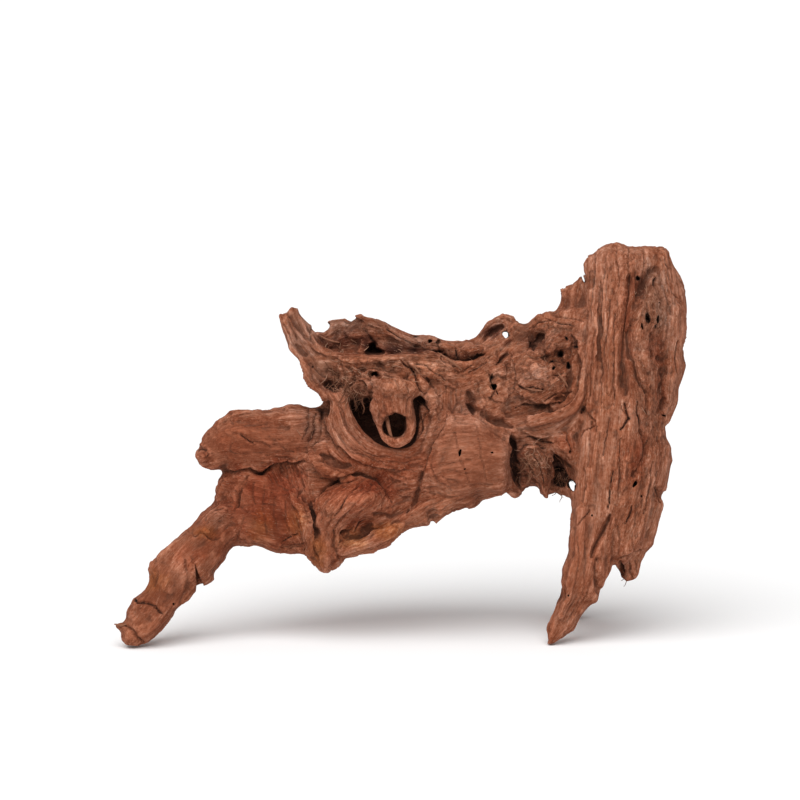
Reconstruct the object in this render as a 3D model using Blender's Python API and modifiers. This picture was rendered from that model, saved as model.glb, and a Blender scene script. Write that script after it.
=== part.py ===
"""A mangrove root: one piece of driftwood that stands on three worn feet.

Lengths in the tables are millimetres. The root is laid out in the plane that faces the viewer:
x to the right, z up, y away from the viewer. That plane then leans by SIGHT_TILT, which brings
the three feet down on the ground, z = 0.
"""

import math

import bmesh
import bpy
from mathutils import Euler, Matrix

MM = 0.001
SIGHT_TILT = math.radians(8)
SIGHT_DISTANCE = 3000.0  # x and z in the tables are as seen from this far in front
SIGHT_CENTRE = (-2.0, 172.0)
STAND_AT = (-0.6, -57.4)  # brings the middle of the root's box over the origin

VOXEL = 2.0  # grid on which the limbs grow together
CREASE_SMOOTHING = 4  # passes that fill the creases between limbs
EDGE_SMOOTHING = 2  # passes that wear the hollows' edges
KEPT_SHARE = 0.08  # share of the triangles kept at the end
FLOOR_DEPTH = 40.0  # how far below the ground the feet's cutter reaches
FLOOR_WIDTH = 1000.0
SHARP_EDGE = math.radians(50)
WELD_DISTANCE = 0.01  # corners of the limbs' meshes closer than this are one corner

ROOT_COLOUR = (0.27, 0.095, 0.05, 1.0)
ROOT_ROUGHNESS = 0.75

ROUND = (True, True)
ROUND_END_STEPS = (0.5, 0.85)  # along a round end, as shares of its radius
CURVE_STEPS = 4
PROFILE_SIDES = 30
FLUTES = ((3, 0.05, 0.4), (5, 0.06, 1.9), (8, 0.04, 0.0))  # how many round the limb, depth, phase
FLUTE_TURN = 0.3  # radians that the flutes turn from one station to the next
FLUTE_START = 1.0  # radians for each letter of a limb's name, so that their flutes start apart

# Each limb: name, flatness (depth over width), whether its first and last ends are round, and
# its stations from end to end. A station of four numbers is the centre's x, z and y and the half
# width there. One of five is the x and z of both edges, then the depth of the centre.
LIMBS = [
    ("left_leg", 0.95, ROUND, [
        (-199, 5, -182, 0, -7), (-197, 17, -171, 8, -4), (-192, 29, -162, 20, 1),
        (-183, 41, -152, 31, 7), (-180, 55, -139, 42, 13), (-166, 69, -130, 53, 19),
        (-154, 81, -122, 65, 25), (-141, 95, -113, 72, 30), (-131, 108, -99, 71, 35),
        (-122, 122, -84, 67, 38)]),
    ("knee", 0.9, ROUND, [(-175, 51, 11, 6), (-150, 46, 13, 10), (-141, 55, 17, 11)]),
    ("foot_splinter", 1.0, ROUND, [(-190, 9, -5, 6), (-200, 13.5, -5, 3)]),
    ("armpit", 0.9, ROUND, [(-125, 112, 30, 9), (-113, 121, 30, 14), (-95, 127, 30, 14)]),
    ("upper_arm", 0.95, ROUND, [
        (-133, 151, -133, 123, 24), (-122, 163, -122, 122, 25), (-105, 165, -105, 121, 27),
        (-80, 168, -80, 123, 30), (-55, 168, -55, 124, 34)]),
    ("nub", 1.0, ROUND, [(-126, 136, 20, 10), (-140, 131, 16, 7)]),
    ("body", 0.78, ROUND, [
        (-102, 128, -102, 70, 37), (-80, 132, -80, 63, 36), (-60, 136, -60, 60, 34),
        (-38, 140, -34, 64, 34), (-22, 146, -6, 73, 34), (8, 154, 12, 87, 35),
        (30, 160, 40, 95, 36), (55, 160, 55, 103, 38)]),
    ("body_front", 0.7, ROUND, [
        (-60, 150, -74, 122, 20), (-40, 148, -50, 116, 16), (-18, 140, -22, 112, 14),
        (8, 140, 4, 106, 14), (28, 144, 24, 102, 16)]),
    ("drooping_lobe", 0.9, ROUND, [
        (-61, 94, 16, 15), (-57, 76, 14, 15), (-55, 62.5, 14, 13)]),
    ("fibrous_lobe", 0.8, ROUND, [
        (-58, 88, 6, 11), (-44, 97, 3, 14), (-26, 102, 5, 14), (-14, 96, 12, 9)]),
    ("lower_ridge", 1.0, ROUND, [
        (-42, 70, 16, 9), (-20, 75, 15, 9.5), (-2, 86, 15, 9), (14, 95, 15, 9),
        (40, 106, 18, 10)]),
    ("left_ridge", 0.9, ROUND, [
        (-110, 84, 22, 13), (-88, 78, 20, 14), (-72, 84, 14, 10), (-68, 68, 14, 8)]),
    ("lip", 1.0, ROUND, [
        (-68, 186, -60, 190, 24), (-62, 177, -52, 183, 20), (-55.5, 170, -41, 177, 12),
        (-53, 161, -37, 166, 9), (-51, 149, -34, 155, 8), (-44, 136, -28, 148, 7),
        (-30, 126, -20, 141, 7), (-10, 121, -8, 139, 7), (10, 123, 6, 141, 8),
        (28, 138, 11, 150, 10), (34, 158, 14, 162, 12), (32, 184, 16, 178, 16)]),
    ("broken_branch", 0.9, (True, False), [
        (12, 152, 16, 104, 26), (30, 161, 32, 98, 20), (44, 164, 48, 99, 15),
        (62, 154, 64, 106, 12), (74, 150, 75.5, 108, 10)]),
    ("centre", 0.8, ROUND, [
        (10, 168, 36, 30), (40, 176, 36, 33), (72, 179, 40, 33), (104, 194, 42, 38),
        (128, 203, 44, 36)]),
    ("centre_left", 0.8, ROUND, [(22, 186, 26, 15), (42, 192, 26, 14), (58, 190, 26, 16)]),
    ("centre_knob", 0.8, ROUND, [(88, 192, 16, 15), (104, 184, 14, 12)]),
    ("centre_top", 0.8, ROUND, [
        (60, 196, 30, 14), (80, 202, 32, 17), (100, 213, 38, 20), (116, 224, 42, 17)]),
    ("fold", 1.0, ROUND, [
        (128, 222, 22, 9), (125, 196, 18, 10), (121, 176, 16, 10), (108, 161, 16, 10),
        (88, 153, 18, 9), (68, 150, 20, 8)]),
    ("under_centre", 0.8, ROUND, [(78, 134, 44, 22), (100, 131, 42, 22), (122, 126, 38, 19)]),
    ("knot_fibres", 0.9, ROUND, [(84, 134, 20, 9), (94, 127, 18, 8)]),
    ("wing", 0.45, ROUND, [(116, 221, 40, 17), (121, 238, 40, 14.5), (124, 243, 38, 16)]),
    ("shoulder", 0.9, ROUND, [
        (-50, 180, 42, 13), (-30, 184, 44, 18), (0, 183, 46, 22), (35, 184, 46, 26)]),
    ("fibre_mass", 0.9, ROUND, [(-44, 190, 26, 11), (-30, 187, 18, 12), (-14, 190, 18, 12)]),
    ("rim", 0.95, ROUND, [
        (-54, 196, 22, 9), (-28, 194, 16, 10), (0, 194.5, 14, 11), (25, 194, 16, 11),
        (48, 199, 22, 11), (66, 207, 28, 9), (78, 213, 33, 7)]),
    ("back_wall", 0.5, ROUND, [
        (-62, 204, 46, 13), (-50, 211, 52, 15), (-34, 214, 55, 17), (-12, 210, 54, 18),
        (10, 203, 52, 17), (35, 199, 50, 16), (50, 200, 46, 15)]),
    ("back_plank", 0.6, ROUND, [(-30, 224, 46, 8.5), (-12, 219, 45, 8), (10, 211, 44, 7)]),
    ("arc", 1.0, ROUND, [
        (50, 208, 46, 7), (58, 219, 46, 6.5), (66, 226, 46, 6.5), (74, 227, 44, 6.5),
        (77.5, 220, 40, 5), (79, 213, 36, 5)]),
    ("horn_front", 0.5, ROUND, [
        (-69.5, 184, -44, 186, 26), (-73, 198, -48, 203, 28), (-82, 211, -60, 213, 30),
        (-87, 224, -70, 222, 30), (-88, 231.5, -76, 231, 29)]),
    ("horn_back", 0.5, ROUND, [
        (-60, 208, 36, 11), (-67, 216, 36, 10), (-74, 225, 34, 8), (-78, 232.5, 32, 5.5)]),
    ("slab_left", 0.95, ROUND, [
        (126.5, 267, 156, 267, 26), (130, 245, 158, 245, 24), (129, 205, 160, 205, 22),
        (124, 165, 158, 165, 20), (117, 122, 154, 122, 20), (115.5, 92, 150, 92, 19),
        (113, 68, 146, 66, 17), (109, 46, 142, 44, 14), (107, 31, 132, 28, 12),
        (99, 18, 118, 15, 6), (96.5, 5, 111, 3, 3)]),
    ("slab_top", 1.1, ROUND, [(140, 268, 27, 12), (152, 270, 27, 13.5), (173, 268, 29, 12.5)]),
    ("slab_middle", 1.0, ROUND, [
        (157, 262, 25, 20), (160, 230, 20, 24), (158, 195, 19, 24), (155, 160, 20, 24),
        (152, 125, 20, 24), (150, 95, 22, 23), (149, 77, 24, 22.5)]),
    ("slab_right", 0.95, ROUND, [
        (160, 265, 190, 265, 30), (163, 240, 197.5, 242, 29), (164, 226, 199.5, 226, 28),
        (162, 209, 195, 206, 28), (164, 193, 197, 196, 28), (158, 177, 193, 175, 28),
        (152, 152, 183, 150, 28), (154, 130, 189, 130, 28), (148, 104, 181, 104, 28),
        (147, 88, 178.5, 88, 28), (146, 70, 171, 66, 28)]),
    ("peg", 1.0, (True, False), [(157, 70, 28, 13), (158.5, 56, 28, 10), (158, 45, 28, 6.5)]),
    ("rear_leg", 0.9, ROUND, [
        (146, 142, 52, 22), (143, 112, 64, 22), (137, 84, 76, 19), (132, 62, 86, 15),
        (124, 44, 92, 13), (117, 28, 99, 11.5), (111, 14, 104, 10.5)]),
    ("buttress", 1.1, ROUND, [(140, 128, 34, 20), (134, 96, 46, 16), (130, 76, 58, 11)]),
    ("hollow_back", 0.8, ROUND, [(-44, 168, 46, 15), (-20, 160, 50, 20), (8, 164, 50, 22)]),
    ("trunk", 0.8, ROUND, [
        (-98, 114, 50, 24), (-55, 122, 58, 31), (0, 140, 62, 37), (50, 152, 64, 38),
        (100, 170, 64, 37), (140, 190, 54, 32)]),
    ("back_root", 0.9, ROUND, [
        (-100, 102, 56, 13), (-62, 128, 76, 14), (-24, 148, 86, 17), (14, 152, 92, 18),
        (56, 140, 93, 17), (92, 146, 88, 16), (126, 170, 76, 15)]),
    ("back_branch", 0.8, ROUND, [
        (-30, 180, 74, 12), (10, 184, 82, 15), (44, 190, 80, 15), (74, 204, 72, 14),
        (108, 214, 60, 13)]),
    ("back_slab", 0.9, ROUND, [
        (150, 250, 44, 17), (156, 215, 50, 20), (152, 170, 54, 21), (146, 120, 56, 20)]),
    ("long_spike", 0.9, ROUND, [(92, 142, 24, 12), (96.5, 124, 20, 8.5), (99.5, 107, 18, 4.5)]),
    ("stump_tip", 0.9, ROUND, [(76, 122, 24, 9), (78, 110, 24, 5)]),
    ("web", 0.8, ROUND, [(98, 118, 36, 12), (110, 114, 34, 10), (121, 112, 28, 11)]),
]

# Rotted-out spaces, in the same form.
HOLLOWS = [
    ("eye", 0.9, ROUND, [
        (-38, 180, -34, 22), (-17, 157, -10, 20), (-13, 157, 8, 20), (-12, 160, 24, 15)]),
    ("cup", 1.0, ROUND, [(-52, 206, 35, 8), (-30, 206, 36, 11), (-6, 208, 36, 8)]),
    ("cup_mouth", 0.9, ROUND, [(-56, 220, 32, 9), (-30, 221, 31, 13), (8, 222, 31, 9)]),
    ("horn_dent", 0.7, ROUND, [(-54, 190, 13, 8), (-48, 184, 16, 7)]),
    ("smooth_dent", 0.9, ROUND, [(46, 178, -4, 6), (48, 168, -2, 7)]),
    ("stump_gap", 1.0, ROUND, [(79, 134, -8, 3.5), (80, 126, 8, 5), (82, 116, 26, 6)]),
    ("dark_pit", 1.0, ROUND, [(108, 123, -6, 8), (109, 121, 22, 7)]),
    ("knot_dent", 1.0, ROUND, [(91, 213, 4, 9), (91, 213, 20, 6)]),
    ("arc_hole", 1.0, ROUND, [(69, 217.5, 0, 4), (71.5, 217.5, 45, 3.5), (71.5, 217.5, 140, 4)]),
    ("web_hole", 1.0, ROUND, [(118, 113, -60, 4), (118, 112, 40, 3.6), (118, 111, 150, 5)]),
    ("back_hollow", 0.9, ROUND, [(0, 132, 108, 20), (4, 130, 84, 14)]),
]

# What stands in the hollows, added after they are cut.
STUB = [("stub", 1.0, (True, False), [
    (-5, 188, 26, 12), (-7.5, 174, 8, 14), (-6.5, 162, -5, 14.5), (-4.5, 152, -14, 14)])]
STUB_BORE = [("stub_bore", 1.0, ROUND, [(-3.5, 150, -26, 8.5), (-5.5, 160, -4, 8)])]


def empty_scene():
    """Removes whatever the scene holds."""
    for old in list(bpy.data.objects):
        bpy.data.objects.remove(old)


def collection(name):
    """A new collection in the scene."""
    made = bpy.data.collections.new(name)
    bpy.context.scene.collection.children.link(made)
    return made


def station_in_space(numbers):
    """A station of either form as x, y, z and half width, moved out for its depth as sight does."""
    if len(numbers) == 5:
        left_x, left_z, right_x, right_z, y = numbers
        x, z = (left_x + right_x) / 2, (left_z + right_z) / 2
        half_width = math.dist((left_x, left_z), (right_x, right_z)) / 2
    else:
        x, z, y, half_width = numbers
    spread = 1 + y / SIGHT_DISTANCE
    middle_x, middle_z = SIGHT_CENTRE
    x = middle_x + (x - middle_x) * spread
    z = middle_z + (z - middle_z) * spread
    return x, y, z, half_width * spread


def profile(name, flutes, home):
    """The closed outline of a limb of half width 1: a circle with the flutes' waves on it."""
    curve = bpy.data.curves.new(name, "CURVE")
    curve.dimensions = "2D"
    spline = curve.splines.new("POLY")
    spline.use_cyclic_u = True
    spline.points.add(PROFILE_SIDES - 1)
    for side, point in enumerate(spline.points):
        angle = 2 * math.pi * side / PROFILE_SIDES
        wave = sum(deep * math.sin(count * angle + phase) for count, deep, phase in flutes)
        point.co = ((1 + wave) * math.cos(angle), (1 + wave) * math.sin(angle), 0, 1)
    outline = helper(bpy.data.objects.new(name, curve))
    home.objects.link(outline)
    return outline


def end_cap(end, inner):
    """Stations past an end whose radii follow a quarter circle, so that the end is round."""
    length = math.dist(end[:3], inner[:3])
    away = [(e - i) / length for e, i in zip(end[:3], inner[:3])]
    radius = end[3]
    cap = []
    for share in ROUND_END_STEPS:
        place = [c + a * share * radius for c, a in zip(end[:3], away)]
        cap.append((*place, radius * math.sqrt(1 - share**2)))
    return cap


def limb_mesh(outline, name, flatness, round_ends, stations):
    """The mesh of one limb: a curve through its stations, as thick at each as its half width."""
    points = [station_in_space(numbers) for numbers in stations]
    first, second, before_last, last = points[0], points[1], points[-2], points[-1]
    if round_ends[0]:
        points = end_cap(first, second)[::-1] + points
    if round_ends[1]:
        points = points + end_cap(last, before_last)
    curve = bpy.data.curves.new(name, "CURVE")
    curve.dimensions = "3D"
    curve.bevel_mode = "OBJECT"
    curve.bevel_object = outline
    curve.resolution_u = CURVE_STEPS
    curve.use_fill_caps = True
    spline = curve.splines.new("BEZIER")
    spline.bezier_points.add(len(points) - 1)
    spline.radius_interpolation = "CARDINAL"
    for number, (x, y, z, half_width) in enumerate(points):
        point = spline.bezier_points[number]
        point.co = (x * MM, y * MM / flatness, z * MM)
        point.handle_left_type = point.handle_right_type = "AUTO"
        point.radius = half_width * MM
        point.tilt = FLUTE_TURN * number + FLUTE_START * len(name)
    limb = bpy.data.objects.new(name, curve)
    bpy.context.scene.collection.objects.link(limb)
    bpy.context.view_layer.update()
    mesh = bpy.data.meshes.new_from_object(limb.evaluated_get(bpy.context.evaluated_depsgraph_get()))
    mesh.transform(Matrix.Diagonal((1, flatness, 1, 1)))
    bpy.data.objects.remove(limb)
    return mesh


def grown_together(name, limbs, outline, home, smoothing):
    """One object whose limbs overlap, joined by a voxel Remesh and smoothed."""
    form = bmesh.new()
    for limb in limbs:
        form.from_mesh(limb_mesh(outline, *limb))
    bmesh.ops.remove_doubles(form, verts=form.verts, dist=WELD_DISTANCE * MM)
    mesh = bpy.data.meshes.new(name)
    form.to_mesh(mesh)
    form.free()
    grown = bpy.data.objects.new(name, mesh)
    home.objects.link(grown)
    remesh(grown, smoothing)
    return grown


def remesh(piece, smoothing):
    """Adds a voxel Remesh and a Smooth."""
    joined = piece.modifiers.new("grow_together", "REMESH")
    joined.mode = "VOXEL"
    joined.voxel_size = VOXEL * MM
    if smoothing:
        smooth = piece.modifiers.new("wear", "SMOOTH")
        smooth.iterations = smoothing


def boolean(piece, other, operation):
    """Adds a Boolean with another object."""
    cut = piece.modifiers.new(other.name, "BOOLEAN")
    cut.operation = operation
    cut.object = other
    cut.solver = "EXACT"


def helper(piece):
    """Marks an object that only shapes another."""
    piece.hide_render = True
    piece.display_type = "WIRE"
    return piece


def settle(piece):
    """Turns what the modifiers make into the piece's own mesh, shaded smooth but for sharp edges."""
    bpy.context.view_layer.update()
    shaped = piece.evaluated_get(bpy.context.evaluated_depsgraph_get())
    mesh = bpy.data.meshes.new_from_object(shaped)
    piece.modifiers.clear()
    piece.data = mesh
    mesh.name = piece.name
    mesh.shade_smooth()
    mesh.set_sharp_from_angle(angle=SHARP_EDGE)


def wood():
    """The root's material."""
    material = bpy.data.materials.new("red_brown_wood")
    material.use_nodes = True
    shader = material.node_tree.nodes["Principled BSDF"]
    shader.inputs["Base Color"].default_value = ROOT_COLOUR
    shader.inputs["Roughness"].default_value = ROOT_ROUGHNESS
    shader.inputs["Metallic"].default_value = 0.0
    return material


def main():
    empty_scene()
    parts = collection("mangrove_root_parts")
    cutters = collection("cutters")

    sight = bpy.data.objects.new("sight_plane", None)
    sight.rotation_euler = Euler((-SIGHT_TILT, 0, 0))
    sight.location = (STAND_AT[0] * MM, STAND_AT[1] * MM, 0)
    parts.objects.link(sight)

    fluted = profile("fluted_outline", FLUTES, cutters)
    plain = profile("plain_outline", (), cutters)
    root = grown_together("mangrove_root", LIMBS, fluted, parts, CREASE_SMOOTHING)
    hollows = helper(grown_together("hollows", HOLLOWS, fluted, cutters, 0))
    stub = helper(grown_together("stub", STUB, plain, cutters, 0))
    bore = helper(grown_together("stub_bore", STUB_BORE, plain, cutters, 0))
    for piece in (root, hollows, stub, bore):
        piece.parent = sight
    boolean(root, hollows, "DIFFERENCE")
    boolean(root, stub, "UNION")
    boolean(root, bore, "DIFFERENCE")
    remesh(root, EDGE_SMOOTHING)
    thin = root.modifiers.new("fewer_triangles", "DECIMATE")
    thin.ratio = KEPT_SHARE

    bpy.ops.mesh.primitive_cube_add(size=MM, location=(0, 0, -FLOOR_DEPTH * MM / 2))
    floor = helper(bpy.context.object)
    floor.name = "ground"
    floor.scale = (FLOOR_WIDTH, FLOOR_WIDTH, FLOOR_DEPTH)
    for home in list(floor.users_collection):
        home.objects.unlink(floor)
    cutters.objects.link(floor)
    boolean(root, floor, "DIFFERENCE")

    settle(root)
    root.data.materials.clear()
    root.data.materials.append(wood())


main()
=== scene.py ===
"""A mangrove root: one piece of red-brown driftwood that stands on three worn feet.

Lengths in the tables are millimetres. A place on the front is given as it is seen: x to the right
and z up, in the plane that faces a viewer who looks down by eight degrees, and y away from them.
"""
import math

import bmesh
import bpy
import numpy as np
from mathutils import Euler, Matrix
from mathutils.bvhtree import BVHTree


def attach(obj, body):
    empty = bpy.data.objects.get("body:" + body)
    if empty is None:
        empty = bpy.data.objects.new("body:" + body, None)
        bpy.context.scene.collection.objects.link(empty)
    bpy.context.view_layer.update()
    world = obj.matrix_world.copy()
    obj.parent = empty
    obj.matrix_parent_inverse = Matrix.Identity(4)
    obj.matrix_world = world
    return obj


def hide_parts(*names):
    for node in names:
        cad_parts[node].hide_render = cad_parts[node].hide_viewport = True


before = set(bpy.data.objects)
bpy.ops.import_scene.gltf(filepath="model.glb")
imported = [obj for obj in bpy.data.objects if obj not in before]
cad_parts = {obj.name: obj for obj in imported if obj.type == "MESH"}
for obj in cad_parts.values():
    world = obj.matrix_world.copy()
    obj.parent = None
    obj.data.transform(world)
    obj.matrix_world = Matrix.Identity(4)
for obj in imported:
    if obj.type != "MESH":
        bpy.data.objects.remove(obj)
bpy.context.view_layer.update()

MM = 0.001

# The viewer's place. It is three metres in front of the root and a little above it, with a long
# lens, so that the limbs are seen with almost no perspective.
SIGHT_TILT = math.radians(8)
SIGHT_DISTANCE = 3000.0
SIGHT_MIDDLE = (-2.45, 171.85)
SIGHT_WIDTH = 560.0  # how much of the root's plane the view takes in
STAND_AT = (-0.6, -57.4)
SENSOR = 36.0


def seen(points):
    """Where points in metres are seen, in three columns: x, z and depth.

    The point is turned into the viewer's frame by the tilt, then drawn towards the middle of the
    view by distance / (distance + depth)."""
    x = points[:, 0] / MM - STAND_AT[0]
    level = points[:, 1] / MM - STAND_AT[1]
    up = points[:, 2] / MM
    y = level * math.cos(SIGHT_TILT) - up * math.sin(SIGHT_TILT)
    z = level * math.sin(SIGHT_TILT) + up * math.cos(SIGHT_TILT)
    near = SIGHT_DISTANCE / (SIGHT_DISTANCE + y)
    middle_x, middle_z = SIGHT_MIDDLE
    return np.stack((middle_x + (x - middle_x) * near, middle_z + (z - middle_z) * near, y), 1)


def in_space(places):
    """The points in metres that are seen at places of x, z and depth: seen() taken backwards."""
    places = np.asarray(places, float)
    far = (SIGHT_DISTANCE + places[:, 2]) / SIGHT_DISTANCE
    middle_x, middle_z = SIGHT_MIDDLE
    x = middle_x + (places[:, 0] - middle_x) * far
    z = middle_z + (places[:, 1] - middle_z) * far
    y = places[:, 2]
    level = y * math.cos(SIGHT_TILT) + z * math.sin(SIGHT_TILT)
    up = z * math.cos(SIGHT_TILT) - y * math.sin(SIGHT_TILT)
    return np.stack((x + STAND_AT[0], level + STAND_AT[1], up), 1) * MM


lens = bpy.data.cameras.new("viewer")
lens.sensor_width = SENSOR
lens.lens = SENSOR * SIGHT_DISTANCE / SIGHT_WIDTH
camera = bpy.data.objects.new("viewer", lens)
eye_x, eye_z, eye_y = SIGHT_MIDDLE[0], SIGHT_MIDDLE[1], -SIGHT_DISTANCE
camera.location = (
    (eye_x + STAND_AT[0]) * MM,
    (eye_y * math.cos(SIGHT_TILT) + eye_z * math.sin(SIGHT_TILT) + STAND_AT[1]) * MM,
    (eye_z * math.cos(SIGHT_TILT) - eye_y * math.sin(SIGHT_TILT)) * MM)
camera.rotation_euler = Euler((math.pi / 2 - SIGHT_TILT, 0, 0))
bpy.context.scene.collection.objects.link(camera)
bpy.context.scene.camera = camera
bpy.context.scene.view_settings.view_transform = "Standard"

# The root's wood. It is one grown piece, so all of its surface is one mesh: the limbs' form is
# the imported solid's, with the thin torn plates that stand on it, and the grain is worn into it.
GRID = 1.0  # the wood's surface is worked out on a grid this fine
WELD = 0.01  # points of the solid's triangles this close are joined
FORM_SMOOTHING = 9  # passes that take the solid's flat facets away
MOST_TRIANGLES = 186000

# Thin torn plates: thickness, then the outline's corners as x, z and depth.
PLATES = [
    # the horn
    (7.0, [(-58, 203, 32), (-70, 200, 30), (-80, 208, 29), (-85, 221, 29), (-87.5, 232.5, 28),
           (-82.5, 233, 29), (-81, 235.5, 30), (-77.5, 238.5, 31), (-73.5, 236.5, 32),
           (-71.5, 232, 33), (-68.5, 228.5, 34), (-63, 224.5, 36), (-63.5, 221.5, 36),
           (-57, 216, 38), (-52, 205, 38)]),
    # the left plate
    (4.5, [(-60, 204, 42), (-60.5, 217.5, 46), (-56.5, 219, 50), (-50, 220, 53), (-50.5, 223, 54),
           (-54.5, 226, 54), (-52, 227.5, 55), (-46, 228.5, 56), (-39, 228.5, 56), (-37.5, 225, 55),
           (-33, 222, 54), (-29, 214, 50), (-26, 203, 44)]),
    # the back plank
    (6.5, [(-33, 203, 40), (-30, 216, 47), (-33, 222.5, 52), (-35.5, 226, 53), (-33.5, 228, 53),
           (-35.5, 232, 54), (-28, 232, 54), (-17, 229.5, 52), (-8, 225.5, 50), (0, 221, 48),
           (7, 218.5, 46), (14, 213, 44), (6, 205, 42), (-10, 203, 41)]),
    # the stump splinter
    (4.0, [(66, 110, 18), (73, 107.5, 18), (77.5, 103.5, 18), (80.5, 106, 20), (78, 112, 22),
           (74, 118, 22)]),
    # the middle splinter
    (5.0, [(91, 114, 22), (95, 107, 20), (99, 102.5, 19), (101.5, 102.5, 19), (103, 108, 22),
           (100, 118, 24)]),
    # the left web
    (6.0, [(100, 116, 32), (103, 106, 30), (109, 105.5, 30), (113, 103, 29), (118.5, 100.5, 28),
           (121, 110, 28), (112, 116, 32)]),
    # the under notch
    (4.0, [(17, 92, 22), (19.5, 85, 21), (20.6, 87, 20.5), (21, 91, 20.5), (21.6, 83, 20),
           (27, 87, 20), (33, 92, 20), (30, 98, 20)]),
    # the wing
    (7.0, [(110, 236, 38), (109, 250, 38), (120, 255, 36), (125.4, 259.5, 34), (126.4, 255, 34),
           (127.5, 250, 33), (134, 240, 32), (128, 228, 36)]),
]


def smooth_line(points, step):
    """Points every step along a curve through the given ones: a cubic between each two, whose
    slope at a point is that between its neighbours."""
    points = np.array(points, float)
    ends = np.concatenate((2 * points[:1] - points[1:2], points, 2 * points[-1:] - points[-2:-1]))
    made = []
    for before, start, end, after in zip(ends, ends[1:], ends[2:], ends[3:]):
        count = max(1, round(np.linalg.norm(end - start) / step))
        t = (np.arange(count) / count)[:, None]
        made.append(0.5 * (2 * start + (end - before) * t
                           + (2 * before - 5 * start + 4 * end - after) * t**2
                           + (3 * start - before - 3 * end + after) * t**3))
    made.append(points[-1:])
    return np.concatenate(made)


def carried_frames(line):
    """The way of a line at each of its points and two directions square to it, which are carried
    from point to point without turning about the line."""
    way = np.gradient(line, axis=0)
    way /= np.linalg.norm(way, axis=1)[:, None]
    side = np.cross(way[0], (0.3, 0.9, 0.2))
    sides = []
    for ahead in way:
        side = side - ahead * (side @ ahead)
        side = side / np.linalg.norm(side)
        sides.append(side)
    sides = np.array(sides)
    return way, sides, np.cross(way, sides)


SWELL_STEP = 2.5  # length along a swell between two of its rings
SWELL_SIDES = 12
SWELL_TIP = 0.7  # how far its ends reach past the last ring, as a share of the radius
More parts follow.
